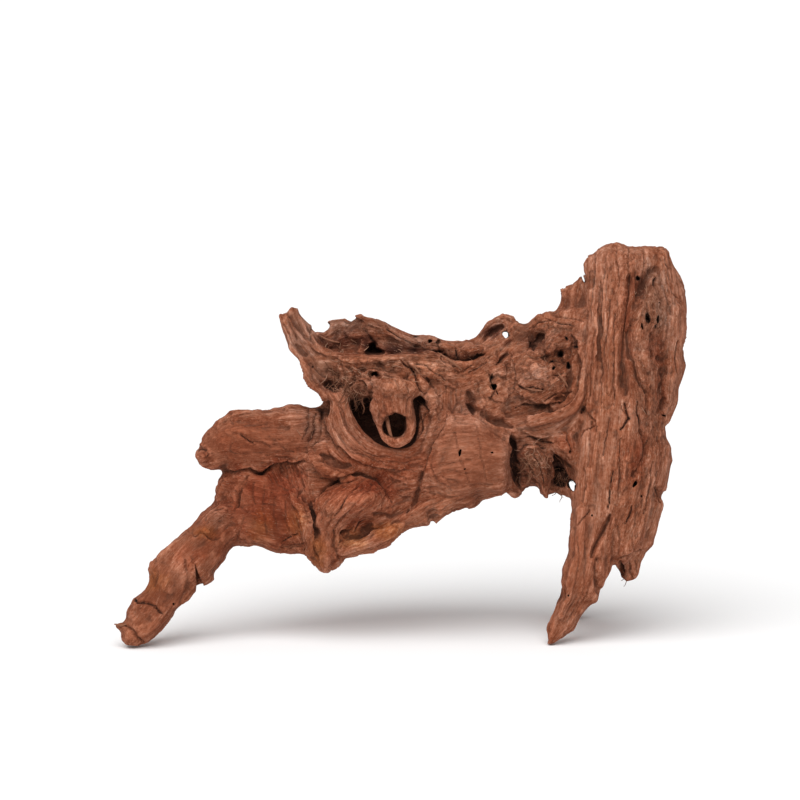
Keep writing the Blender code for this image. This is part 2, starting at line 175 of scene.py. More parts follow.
# Round ridges and knots that are grown on: places of x, z and depth, each with its radius.
SWELLS = [
    # the lip's inner rim and the rim over the hollow
    [(-43, 177, 8, 3.5), (-41.5, 170, 4, 3.8), (-39, 161, 2, 4.2), (-34.5, 152.5, 1, 4.4),
     (-28, 145, 1, 4.4), (-19.5, 138.5, 0, 4.2), (-8, 134.5, 0, 4.0), (2, 135, 1, 4.0),
     (9.5, 139.5, 3, 4.0), (13, 147, 5, 4.0), (14, 157, 6, 4.0), (14, 168, 8, 4.0)],
    [(-56, 188, 23, 6), (-49, 183, 20, 6.5), (-43, 178, 15, 5)],
    # the mass of fibres over the stub
    [(-44, 186, 12, 4), (-36, 183, 9, 5), (-29, 180, 6, 5), (-24, 178, 4, 5)],
    [(-36, 192, 10, 5), (-30, 184, 8, 4.5), (-30, 176, 9, 3.5), (-29, 171, 12, 2.4)],
    [(-44, 195, 12, 3), (-40, 187, 8, 3), (-38, 178, 8, 3), (-36, 172, 9, 2.2)],
    [(-26, 188, 4, 6), (-16, 184, -4, 8), (-8, 181, -7, 9), (1, 179, -5, 7), (8, 177, 3, 5)],
    [(6, 186, 3, 5), (14, 180, 4, 5), (20, 172, 3, 5), (20, 162, 3, 4)],
    # the stub's shoulder and the side of its mouth
    [(-17, 176, -6, 5), (-18.5, 166, -12, 4.5), (-16, 156, -15, 4), (-12.5, 148, -19, 3.8),
     (-6, 142.5, -20, 4.0), (0.5, 144, -19, 3.8), (4.5, 150, -17, 3.6), (5, 158, -14, 3.6)],
    # the horn's fold and its outer edge
    [(-84, 228, 27, 2.6), (-81, 216, 26, 3), (-76, 204, 24, 3.2), (-71, 192, 20, 3.4),
     (-66, 181, 16, 3.4), (-58, 173, 8, 3.4)],
    [(-72, 230, 29, 2.4), (-66, 219, 27, 2.4), (-58, 210, 22, 2.6), (-50, 204, 16, 3)],
    # the rim of the cup
    [(-52, 204, 16, 2.6), (-38, 202, 10, 2.8), (-24, 201, 6, 2.8), (-10, 201, 5, 3), (4, 203, 7, 3),
     (18, 204, 9, 3), (28, 201, 9, 3)],
    # knots along the top
    [(14, 212, 44, 5), (24, 212, 44, 5.5), (36, 209, 42, 4.5), (46, 207, 36, 4)],
    [(15, 212, 33, 4), (19, 211.5, 29, 5), (25, 210, 27, 4.6)],
    [(29, 208.5, 24, 4.4), (34, 207.5, 21, 4.6), (38, 207, 20, 3.6)],
    [(43, 206, 18, 3.8), (49, 205.8, 16, 4.2), (56, 206.5, 18, 3.4)],
    [(52, 206, 26, 4), (60, 211, 24, 4.5), (68, 216, 22, 4.5), (76, 221, 24, 3.5)],
    # the edge round the craggy middle
    [(125, 212, 14, 4.5), (126, 198, 11, 5), (124.5, 184, 10, 5), (121, 172, 9, 5),
     (112, 164, 9, 5), (100, 160, 10, 4.5), (88, 156, 12, 4)],
    [(78, 200, 12, 6), (88, 197, 9, 6), (97, 190, 8, 6), (104, 182, 9, 5)],
    [(60, 200, 15, 5), (66, 188, 15, 5), (68, 174, 16, 5), (64, 166, 16, 4)],
    [(80, 182, 13, 6), (92, 177, 12, 6), (104, 173, 10, 5), (112, 176, 10, 4)],
    [(100, 208, 12, 5), (108, 212, 12, 5), (116, 212, 12, 5)],
    # the knot between the middle and the slab, and the fibrous ball under it
    [(104, 150, 16, 7), (110, 143, 17, 9), (116, 137, 17, 8), (121, 130, 14, 6)],
    [(114, 149, 20, 7), (119, 155, 15, 6), (124, 162, 12, 5)],
    [(86, 136, 14, 9), (92, 128, 14, 9), (95, 119, 15, 7), (98, 110, 16, 4.5), (100.5, 104, 17, 2)],
    [(104, 124, 22, 6), (112, 118, 26, 6)],
    # the body's folds
    [(-78, 108, 9, 4.5), (-73, 97, 4, 5), (-69, 86, 0, 5), (-66, 75, 0, 5), (-63, 64, 4, 4)],
    [(-62, 134, 4, 5), (-58, 125, 3, 5), (-48, 120, 3, 5), (-36, 119.5, 3, 4)],
    [(-56, 62, 3, 6), (-54, 54, 4, 4)],
    [(-50, 64, 6, 5), (-36, 70, 6, 5), (-22, 75, 6, 5), (-8, 82, 6, 5)],
    [(-52, 92, -4, 6), (-40, 98, -6, 7), (-28, 102, -6, 7), (-18, 103, -3, 5)],
    # the slab's ridges
    [(144, 252, 14, 4), (143, 232, 12, 4.5), (144, 212, 11, 4.5), (144, 192, 11, 4.5),
     (142, 172, 9, 4)],
    [(133, 250, 15, 4), (133, 226, 12, 4.5), (132, 204, 9, 4.5), (131, 184, 8, 4),
     (130, 166, 7, 4)],
    [(168, 236, 14, 6), (165, 216, 12, 7), (168, 202, 13, 6), (172, 190, 15, 5), (176, 178, 18, 5)],
    [(188, 254, 26, 5), (190, 232, 24, 5), (188, 208, 22, 5), (184, 186, 22, 5)],
    [(158, 160, 8, 6), (157, 142, 7, 6), (155, 124, 6, 6), (151, 106, 6, 5)],
    [(178, 138, 22, 5), (176, 120, 21, 6), (172, 104, 20, 6), (168, 90, 20, 5)],
    [(124, 96, 4, 4), (124, 76, 3, 4.5), (121, 56, 2, 4.5), (116, 38, -1, 4), (109, 20, -6, 3)],
    [(148, 92, 12, 4), (146, 76, 12, 4.5), (144, 62, 12, 4), (143, 52, 13, 3)],
    # the leg
    [(-126, 96, 18, 6), (-136, 84, 14, 6), (-150, 70, 6, 6), (-160, 58, 0, 5)],
    [(-188, 26, -6, 5), (-178, 30, -6, 5), (-170, 24, -6, 4)],
    [(-140, 130, 8, 5), (-143, 134, 8, 5)],
]

# Splits, clefts and rotted pits that are cut in before the wood is worn smooth: the depth they
# start and end at, then the outline's corners of x and z.
CLEFTS = [
    (-20, 17, [(72, 148), (75, 134), (74, 120), (78, 108), (84, 106), (82, 118), (79.5, 130),
               (80, 142), (77, 150)]),
    (-20, 31, [(103, 127), (108, 130), (115, 126), (119, 118), (115, 110), (106, 107), (103, 116)]),
    (-20, 26, [(85, 213), (89, 218.5), (100, 219), (98, 211), (92, 206.5)]),
    (-20, 45, [(-56, 205), (-53, 215), (-46, 219), (-38, 216), (-32, 212), (-27, 205)]),
    (30, 56, [(-30, 203), (-27, 206.5), (-25.5, 209), (-25, 212.5), (-21, 214), (-18.5, 211),
              (-19, 208.5), (-13, 206.5), (-9, 203)]),
    (-20, 27, [(23, 206.5), (30, 204.4), (37, 203), (46, 202.6), (57, 204.8), (57, 202.2),
               (46, 199.8), (37, 200.4), (30, 201.6), (22, 203.6)]),
    (-20, 34, [(54, 213), (56, 219), (60.5, 224), (67, 226), (70, 223), (65, 218.5), (59, 214)]),
    (-20, 11, [(-26, 187), (-23.5, 191.5), (-17.5, 192.5), (-14, 190), (-19, 187)]),
    (-30, 16, [(150, 60.5), (154, 61), (155.5, 52), (153.5, 46), (150, 50)]),
    (-20, 10, [(115, 198), (118.5, 192), (118.5, 182), (116, 177), (113, 184), (112, 194)]),
    (-20, 10.5, [(99, 170.5), (105, 174), (113, 176.5), (118, 176), (113, 172), (104, 170)]),
    (-30, 4, [(-16.7, 158.2), (-12.8, 162.6), (-7.5, 164.2), (-1.5, 163), (3, 159.3), (4.6, 153.5),
              (3.6, 147.6), (0, 144), (-6, 142.9), (-11.6, 144.2), (-15.8, 147.8), (-17.4, 153)]),
]
CLEFT_NARROWS = 0.6  # a cleft's floor is this much narrower than its mouth


def tube(middle, radius, frames, sides, reach):
    """A closed tube's points, quads and end triangles: a ring round each point of its middle line
    at the radius there, and a point beyond each end by a share (reach) of the radius."""
    way, side, rise = frames
    angle = np.arange(sides) * 2 * math.pi / sides
    ring = np.cos(angle)[:, None] * side[:, None] + np.sin(angle)[:, None] * rise[:, None]
    rings = middle[:, None] + ring * radius[:, None, None]
    tips = np.stack((middle[0] - way[0] * radius[0] * reach,
                     middle[-1] + way[-1] * radius[-1] * reach))
    return np.concatenate((rings.reshape(-1, 3), tips)), *tube_faces(len(middle), sides)


def tube_faces(count, sides):
    """The quads between so many rings of points, and the triangles from the first and last ring
    to the two points that follow the rings."""
    index = np.arange(count * sides).reshape(count, sides)
    after = np.roll(index, -1, 1)
    walls = np.stack((index[:-1], after[:-1], after[1:], index[1:]), -1).reshape(-1, 4)
    first = np.stack((after[0], index[0], np.full(sides, count * sides)), 1)
    last = np.stack((index[-1], after[-1], np.full(sides, count * sides + 1)), 1)
    return walls, np.concatenate((first, last))


def swell(path):
    """A closed bulging rod along a smooth path, with its own radius at each step."""
    line = smooth_line(path, SWELL_STEP)
    middle, radius = line[:, :3], line[:, 3]
    points, walls, caps = tube(middle, radius, carried_frames(middle), SWELL_SIDES, SWELL_TIP)
    return in_space(points), walls.tolist() + caps.tolist()


def prism(front, back):
    """A closed body between two outlines with as many corners: a strip of sides and both ends."""
    count = len(front)
    ring = np.arange(count)
    after = (ring + 1) % count
    sides = np.stack((ring, after, after + count, ring + count), 1).tolist()
    ends = [list(range(count))[::-1], list(range(count, 2 * count))]
    return in_space(np.concatenate((front, back))), sides + ends


def plate(thickness, corners):
    """A flat plank: the outline at half a thickness in front of its depth and again behind it."""
    corners = np.array(corners, float)
    half = np.array((0, 0, thickness / 2))
    return prism(corners - half, corners + half)


def cleft(start, end, corners):
    """A wedge: the outline at its starting depth, and drawn in towards its middle at the end."""
    corners = np.array(corners, float)
    middle = corners.mean(0)
    floor = middle + (corners - middle) * CLEFT_NARROWS
    return prism(np.column_stack((corners, np.full(len(corners), start))),
                 np.column_stack((floor, np.full(len(corners), end))))


def mesh_of(name, bodies, most_corners=4):
    """One mesh of many closed bodies, each its points and faces, turned right side out, with any
    face of more corners than these cut into triangles."""
    form = bmesh.new()
    for points, faces in bodies:
        made = [form.verts.new(point) for point in points]
        for face in faces:
            form.faces.new([made[k] for k in face])
    wide = [face for face in form.faces if len(face.verts) > most_corners]
    bmesh.ops.triangulate(form, faces=wide)
    bmesh.ops.recalc_face_normals(form, faces=form.faces)
    mesh = bpy.data.meshes.new(name)
    form.to_mesh(mesh)
    form.free()
    return mesh


def new_object(name, mesh):
    """An object at the origin, in the scene."""
    made = bpy.data.objects.new(name, mesh)
    bpy.context.scene.collection.objects.link(made)
    return made


def with_modifiers(mesh, *modifiers):
    """The mesh that modifiers make of a mesh: each is its kind and its settings."""
    carrier = new_object("carrier", mesh)
    for kind, settings in modifiers:
        modifier = carrier.modifiers.new(kind, kind)
        for name, value in settings.items():
            setattr(modifier, name, value)
    shaped = carrier.evaluated_get(bpy.context.evaluated_depsgraph_get())
    made = bpy.data.meshes.new_from_object(shaped)
    bpy.data.objects.remove(carrier)
    return made


def without(cutter):
    """The modifier that cuts an object's body out of a mesh."""
    return "BOOLEAN", {"object": cutter, "operation": "DIFFERENCE", "solver": "MANIFOLD"}


def base_form():
    """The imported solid's triangles, joined, grown together on a fine grid with the plates and
    swells, then split by the clefts and worn smooth."""
    form = bmesh.new()
    form.from_mesh(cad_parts["mangrove_root"].data)
    bmesh.ops.remove_doubles(form, verts=form.verts, dist=WELD * MM)
    bodies = [plate(*sizes) for sizes in PLATES] + [swell(path) for path in SWELLS]
    form.from_mesh(mesh_of("grown_on", bodies))
    mesh = bpy.data.meshes.new("form")
    form.to_mesh(mesh)
    form.free()
    cutter = new_object("wedges", mesh_of("wedges", [cleft(*sizes) for sizes in CLEFTS]))
    grown = ("REMESH", {"mode": "VOXEL", "voxel_size": GRID * MM})
    worn_smooth = ("SMOOTH", {"iterations": FORM_SMOOTHING, "factor": 0.5})
    made = with_modifiers(mesh, grown, without(cutter), grown, worn_smooth)
    bpy.data.objects.remove(cutter)
    return made


def vertex_array(mesh, name):
    """A mesh's vertex values, co or normal, as rows of three."""
    values = np.empty(len(mesh.vertices) * 3, np.float32)
    mesh.vertices.foreach_get(name, values)
    return values.reshape(-1, 3).astype(float)


def set_places(mesh, places):
    """Moves a mesh's vertices to places in metres."""
    mesh.vertices.foreach_set("co", places.astype(np.float32).ravel())
    mesh.update()


def neighbours(mesh):
    """The two ends of every edge, and how many edges meet at each vertex."""
    ends = np.empty(len(mesh.edges) * 2, np.int32)
    mesh.edges.foreach_get("vertices", ends)
    one, other = ends.reshape(-1, 2).T
    meeting = np.bincount(ends, minlength=len(mesh.vertices))
    return one, other, np.maximum(meeting, 1)


def evened(values, links, times):
    """Values after each has been replaced, so many times, by the mean of itself and the mean of
    its neighbours' values."""
    one, other, meeting = links
    flat = values.reshape(len(meeting), -1).T
    for _ in range(times):
        flat = np.stack([
            (row + (np.bincount(one, row[other], len(meeting))
                    + np.bincount(other, row[one], len(meeting))) / meeting) / 2
            for row in flat])
    return flat.T.reshape(values.shape)


LATTICE = 64  # values on each side, after which the noise repeats


def lattice_noise(points, seed):
    """Noise from -1 to 1: random values on a unit lattice, blended between the eight corners
    round each point with weights that ease in and out."""
    side = LATTICE
    values = np.random.default_rng(seed).uniform(-1, 1, (side, side, side)).astype(np.float32)
    low = np.floor(points).astype(np.int64)
    share = points - low
    share = share * share * (3 - 2 * share)
    total = np.zeros(len(points))
    for corner in range(8):
        step = np.array((corner & 1, corner >> 1 & 1, corner >> 2))
        x, y, z = ((low + step) % side).T
        weight = np.prod(np.where(step, share, 1 - share), 1)
        total += weight * values[x, y, z]
    return total


# The outline as it is seen, from the left foot along the underside, up the slab and back along
# the top.
OUTLINE = [
    (-202, 14), (-199, 10), (-198, 3), (-194, -1), (-185, -1), (-178, 1.5), (-170, 9), (-163, 18),
    (-159, 25), (-150, 31), (-144, 38), (-138, 41), (-132, 46), (-132, 51), (-125, 59), (-122, 66),
    (-119, 69), (-105, 70), (-99, 68), (-95, 65.5), (-85, 64), (-70, 63), (-65, 57), (-60, 52),
    (-54, 50), (-50, 51), (-45, 54), (-40, 60), (-30, 63), (-20, 65), (-10, 70), (0, 78), (8, 82),
    (18, 84), (20, 86), (21, 89), (21.5, 83), (25, 85), (30, 90), (38, 95), (50, 96), (55, 101),
    (65, 103), (72, 107), (77, 104), (79, 104), (84, 107), (87, 111), (93, 112), (96, 106),
    (99, 102.5), (102, 103), (103, 106), (108, 105), (113, 103), (117, 101), (117, 95), (117, 88),
    (115, 75), (114, 63), (111, 55), (110, 45), (110, 35), (108, 32), (104, 24), (99, 15), (99, 6),
    (100, 1), (105, 0.5), (112, 5), (120, 12), (125, 20), (130, 26), (136, 30), (139, 36),
    (141, 44), (145, 50), (147, 54), (150, 52), (152, 47), (156, 44), (161, 46), (165, 50),
    (167, 58), (170, 64), (175, 70), (178, 80), (180, 88), (183, 98), (181, 106), (185, 108),
    (187, 120), (189, 130), (187, 140), (184, 145), (183, 153), (186, 156), (189, 162), (193, 170),
    (193, 180), (196, 188), (198, 196), (196, 202), (195, 208), (198, 215), (200, 224), (200, 230),
    (198, 240), (196, 250), (193, 260), (189, 268), (186, 276), (182, 279.5), (165, 280),
    (156, 281), (150, 283.5), (142, 281), (134, 276), (128, 272), (125, 267), (126, 262),
    (126, 258), (125, 259), (120, 255), (113, 252), (109, 250), (109, 240), (106, 234.5),
    (99, 234.5), (93, 232), (88, 228), (83, 220), (80, 219), (81, 228), (78, 232), (72, 233.5),
    (66, 232), (64, 231), (58, 226), (54, 222), (50, 217), (40, 214), (28, 215), (20, 218),
    (8, 218), (0, 221), (-10, 226), (-20, 230), (-30, 232), (-35, 231), (-34, 226), (-33, 223),
    (-35, 223), (-38, 225), (-40, 228.5), (-50, 228), (-54, 226), (-50, 223), (-50, 220),
    (-57, 219), (-60, 220), (-64, 222), (-63, 224), (-69, 228), (-72, 232), (-74, 236),
    (-78, 238), (-82, 234), (-82, 233), (-87, 232), (-85, 222), (-81, 212), (-80, 207),
    (-74, 200), (-71, 192), (-70, 185), (-68, 181), (-60, 175), (-57, 170), (-56, 169),
    (-65, 167), (-73, 168), (-80, 167.5), (-87, 166), (-95, 164.5), (-105, 165), (-118, 166),
    (-122, 165), (-125, 161), (-131, 158), (-138, 151), (-142, 146), (-143, 141), (-146, 136),
    (-147, 132), (-144, 128), (-141, 124), (-136, 122), (-127, 122), (-130, 116), (-132, 107),
    (-134, 100), (-142, 94), (-150, 84), (-160, 75), (-170, 67), (-176, 60), (-180, 55),
    (-179, 50), (-179, 45), (-182, 39), (-190, 33), (-194, 25), (-195, 18)]
VIEW_LOW = (-216.0, -14.0)
VIEW_CELLS = (432, 310)  # squares of one millimetre
WARP_DEPTH = 11.0  # how far in from the edge the surface is drawn along with it
WARP_MOST = 6.0
WARP_TIMES = 2
FILLED = 0.4  # share of a square's surroundings that is wood where it counts as wood
FAR_OFF = 99.0  # stands for any distance from the edge that isn't measured
PARTS = 80  # the squares near the edge are measured in so many parts, to spare memory
TINY = 1e-9


def off_lines(places, lines):
    """How far each place is from the nearest of many straight pieces, each with two ends."""
    nearest = np.full(len(places), np.inf)
    for start, end in lines:
        along = end - start
        share = np.clip((places - start) @ along / max(along @ along, TINY), 0, 1)
        off = places - start - share[:, None] * along
        nearest = np.minimum(nearest, (off**2).sum(1))
    return np.sqrt(nearest)


def inside(places, corners):
    """Whether each place is inside a closed outline: a line to the right crosses it oddly often."""
    odd = np.zeros(len(places), bool)
    for (x0, z0), (x1, z1) in zip(corners, np.roll(corners, -1, 0)):
        spans = (z0 > places[:, 1]) != (z1 > places[:, 1])
        reach = x0 + (places[:, 1] - z0) / ((z1 - z0) or TINY) * (x1 - x0)
        odd ^= spans & (places[:, 0] < reach)
    return odd


def blurred(grid, times):
    """A grid after each value has been replaced, so many times, by the mean of its three by three
    squares."""
    for _ in range(times):
        wide = np.pad(grid, 1, mode="edge")
        grid = sum(wide[i:i + grid.shape[0], j:j + grid.shape[1]]
                   for i in range(3) for j in range(3)) / 9
    return grid


def grid_value(grid, places):
    """A grid's value at places on the view, blended between the four squares round each."""
    at = np.clip(places - VIEW_LOW - 0.5, 0, np.array(grid.shape) - 1.001)
    low = at.astype(int)
    x, z = (at - low).T
    i, j = low.T
    return ((grid[i, j] * (1 - x) + grid[i + 1, j] * x) * (1 - z)
            + (grid[i, j + 1] * (1 - x) + grid[i + 1, j + 1] * x) * z)


def drawn_to_outline(places):
    """Places of x, z and depth, moved so that the form's own edge falls on the outline.

    Both edges' signed distances are worked out on a grid. The difference is how far the edge has
    to go, the way is the slope of the outline's distance, and it dies off inwards."""
    cells = np.stack(np.meshgrid(
        np.arange(VIEW_CELLS[0]) + 0.5 + VIEW_LOW[0],
        np.arange(VIEW_CELLS[1]) + 0.5 + VIEW_LOW[1], indexing="ij"), -1).reshape(-1, 2)
    corners = np.array(OUTLINE, float)
    wanted = off_lines(cells, list(zip(corners, np.roll(corners, -1, 0))))
    wanted = np.where(inside(cells, corners), -wanted, wanted).reshape(VIEW_CELLS)

    filled = np.zeros(VIEW_CELLS)
    at = np.floor(places[:, :2] - VIEW_LOW).astype(int)
    filled[at[:, 0], at[:, 1]] = 1
    filled = blurred(filled, 1) > FILLED
    rim = filled & (blurred(filled.astype(float), 1) < 0.999)
    rim_cells = cells[rim.ravel()].astype(np.float32)
    near = np.abs(wanted).ravel() < 2 * WARP_DEPTH
    had = np.full(near.shape, FAR_OFF)
    close = cells[near].astype(np.float32)
    had[near] = np.concatenate([
        np.sqrt(((part[:, None] - rim_cells)**2).sum(2).min(1))
        for part in np.array_split(close, PARTS)])
    had = (np.where(filled.ravel(), -had, had) - 0.5).reshape(VIEW_CELLS)

    slope_x, slope_z = np.gradient(blurred(wanted, 1))
    steep = np.maximum(np.hypot(slope_x, slope_z), 0.3)
    need = np.clip(had - wanted, -WARP_MOST, WARP_MOST) * np.exp(-(had / WARP_DEPTH)**2)
    need[np.abs(had) > FAR_OFF - 9] = 0
    moved = places.copy()
    moved[:, 0] += grid_value(blurred(need * slope_x / steep, 2), places[:, :2])
    moved[:, 1] += grid_value(blurred(need * slope_z / steep, 2), places[:, :2])
    return moved


form = base_form()
places = seen(vertex_array(form, "co"))
for _ in range(WARP_TIMES):
    places = drawn_to_outline(places)
set_places(form, in_space(places))
links = neighbours(form)

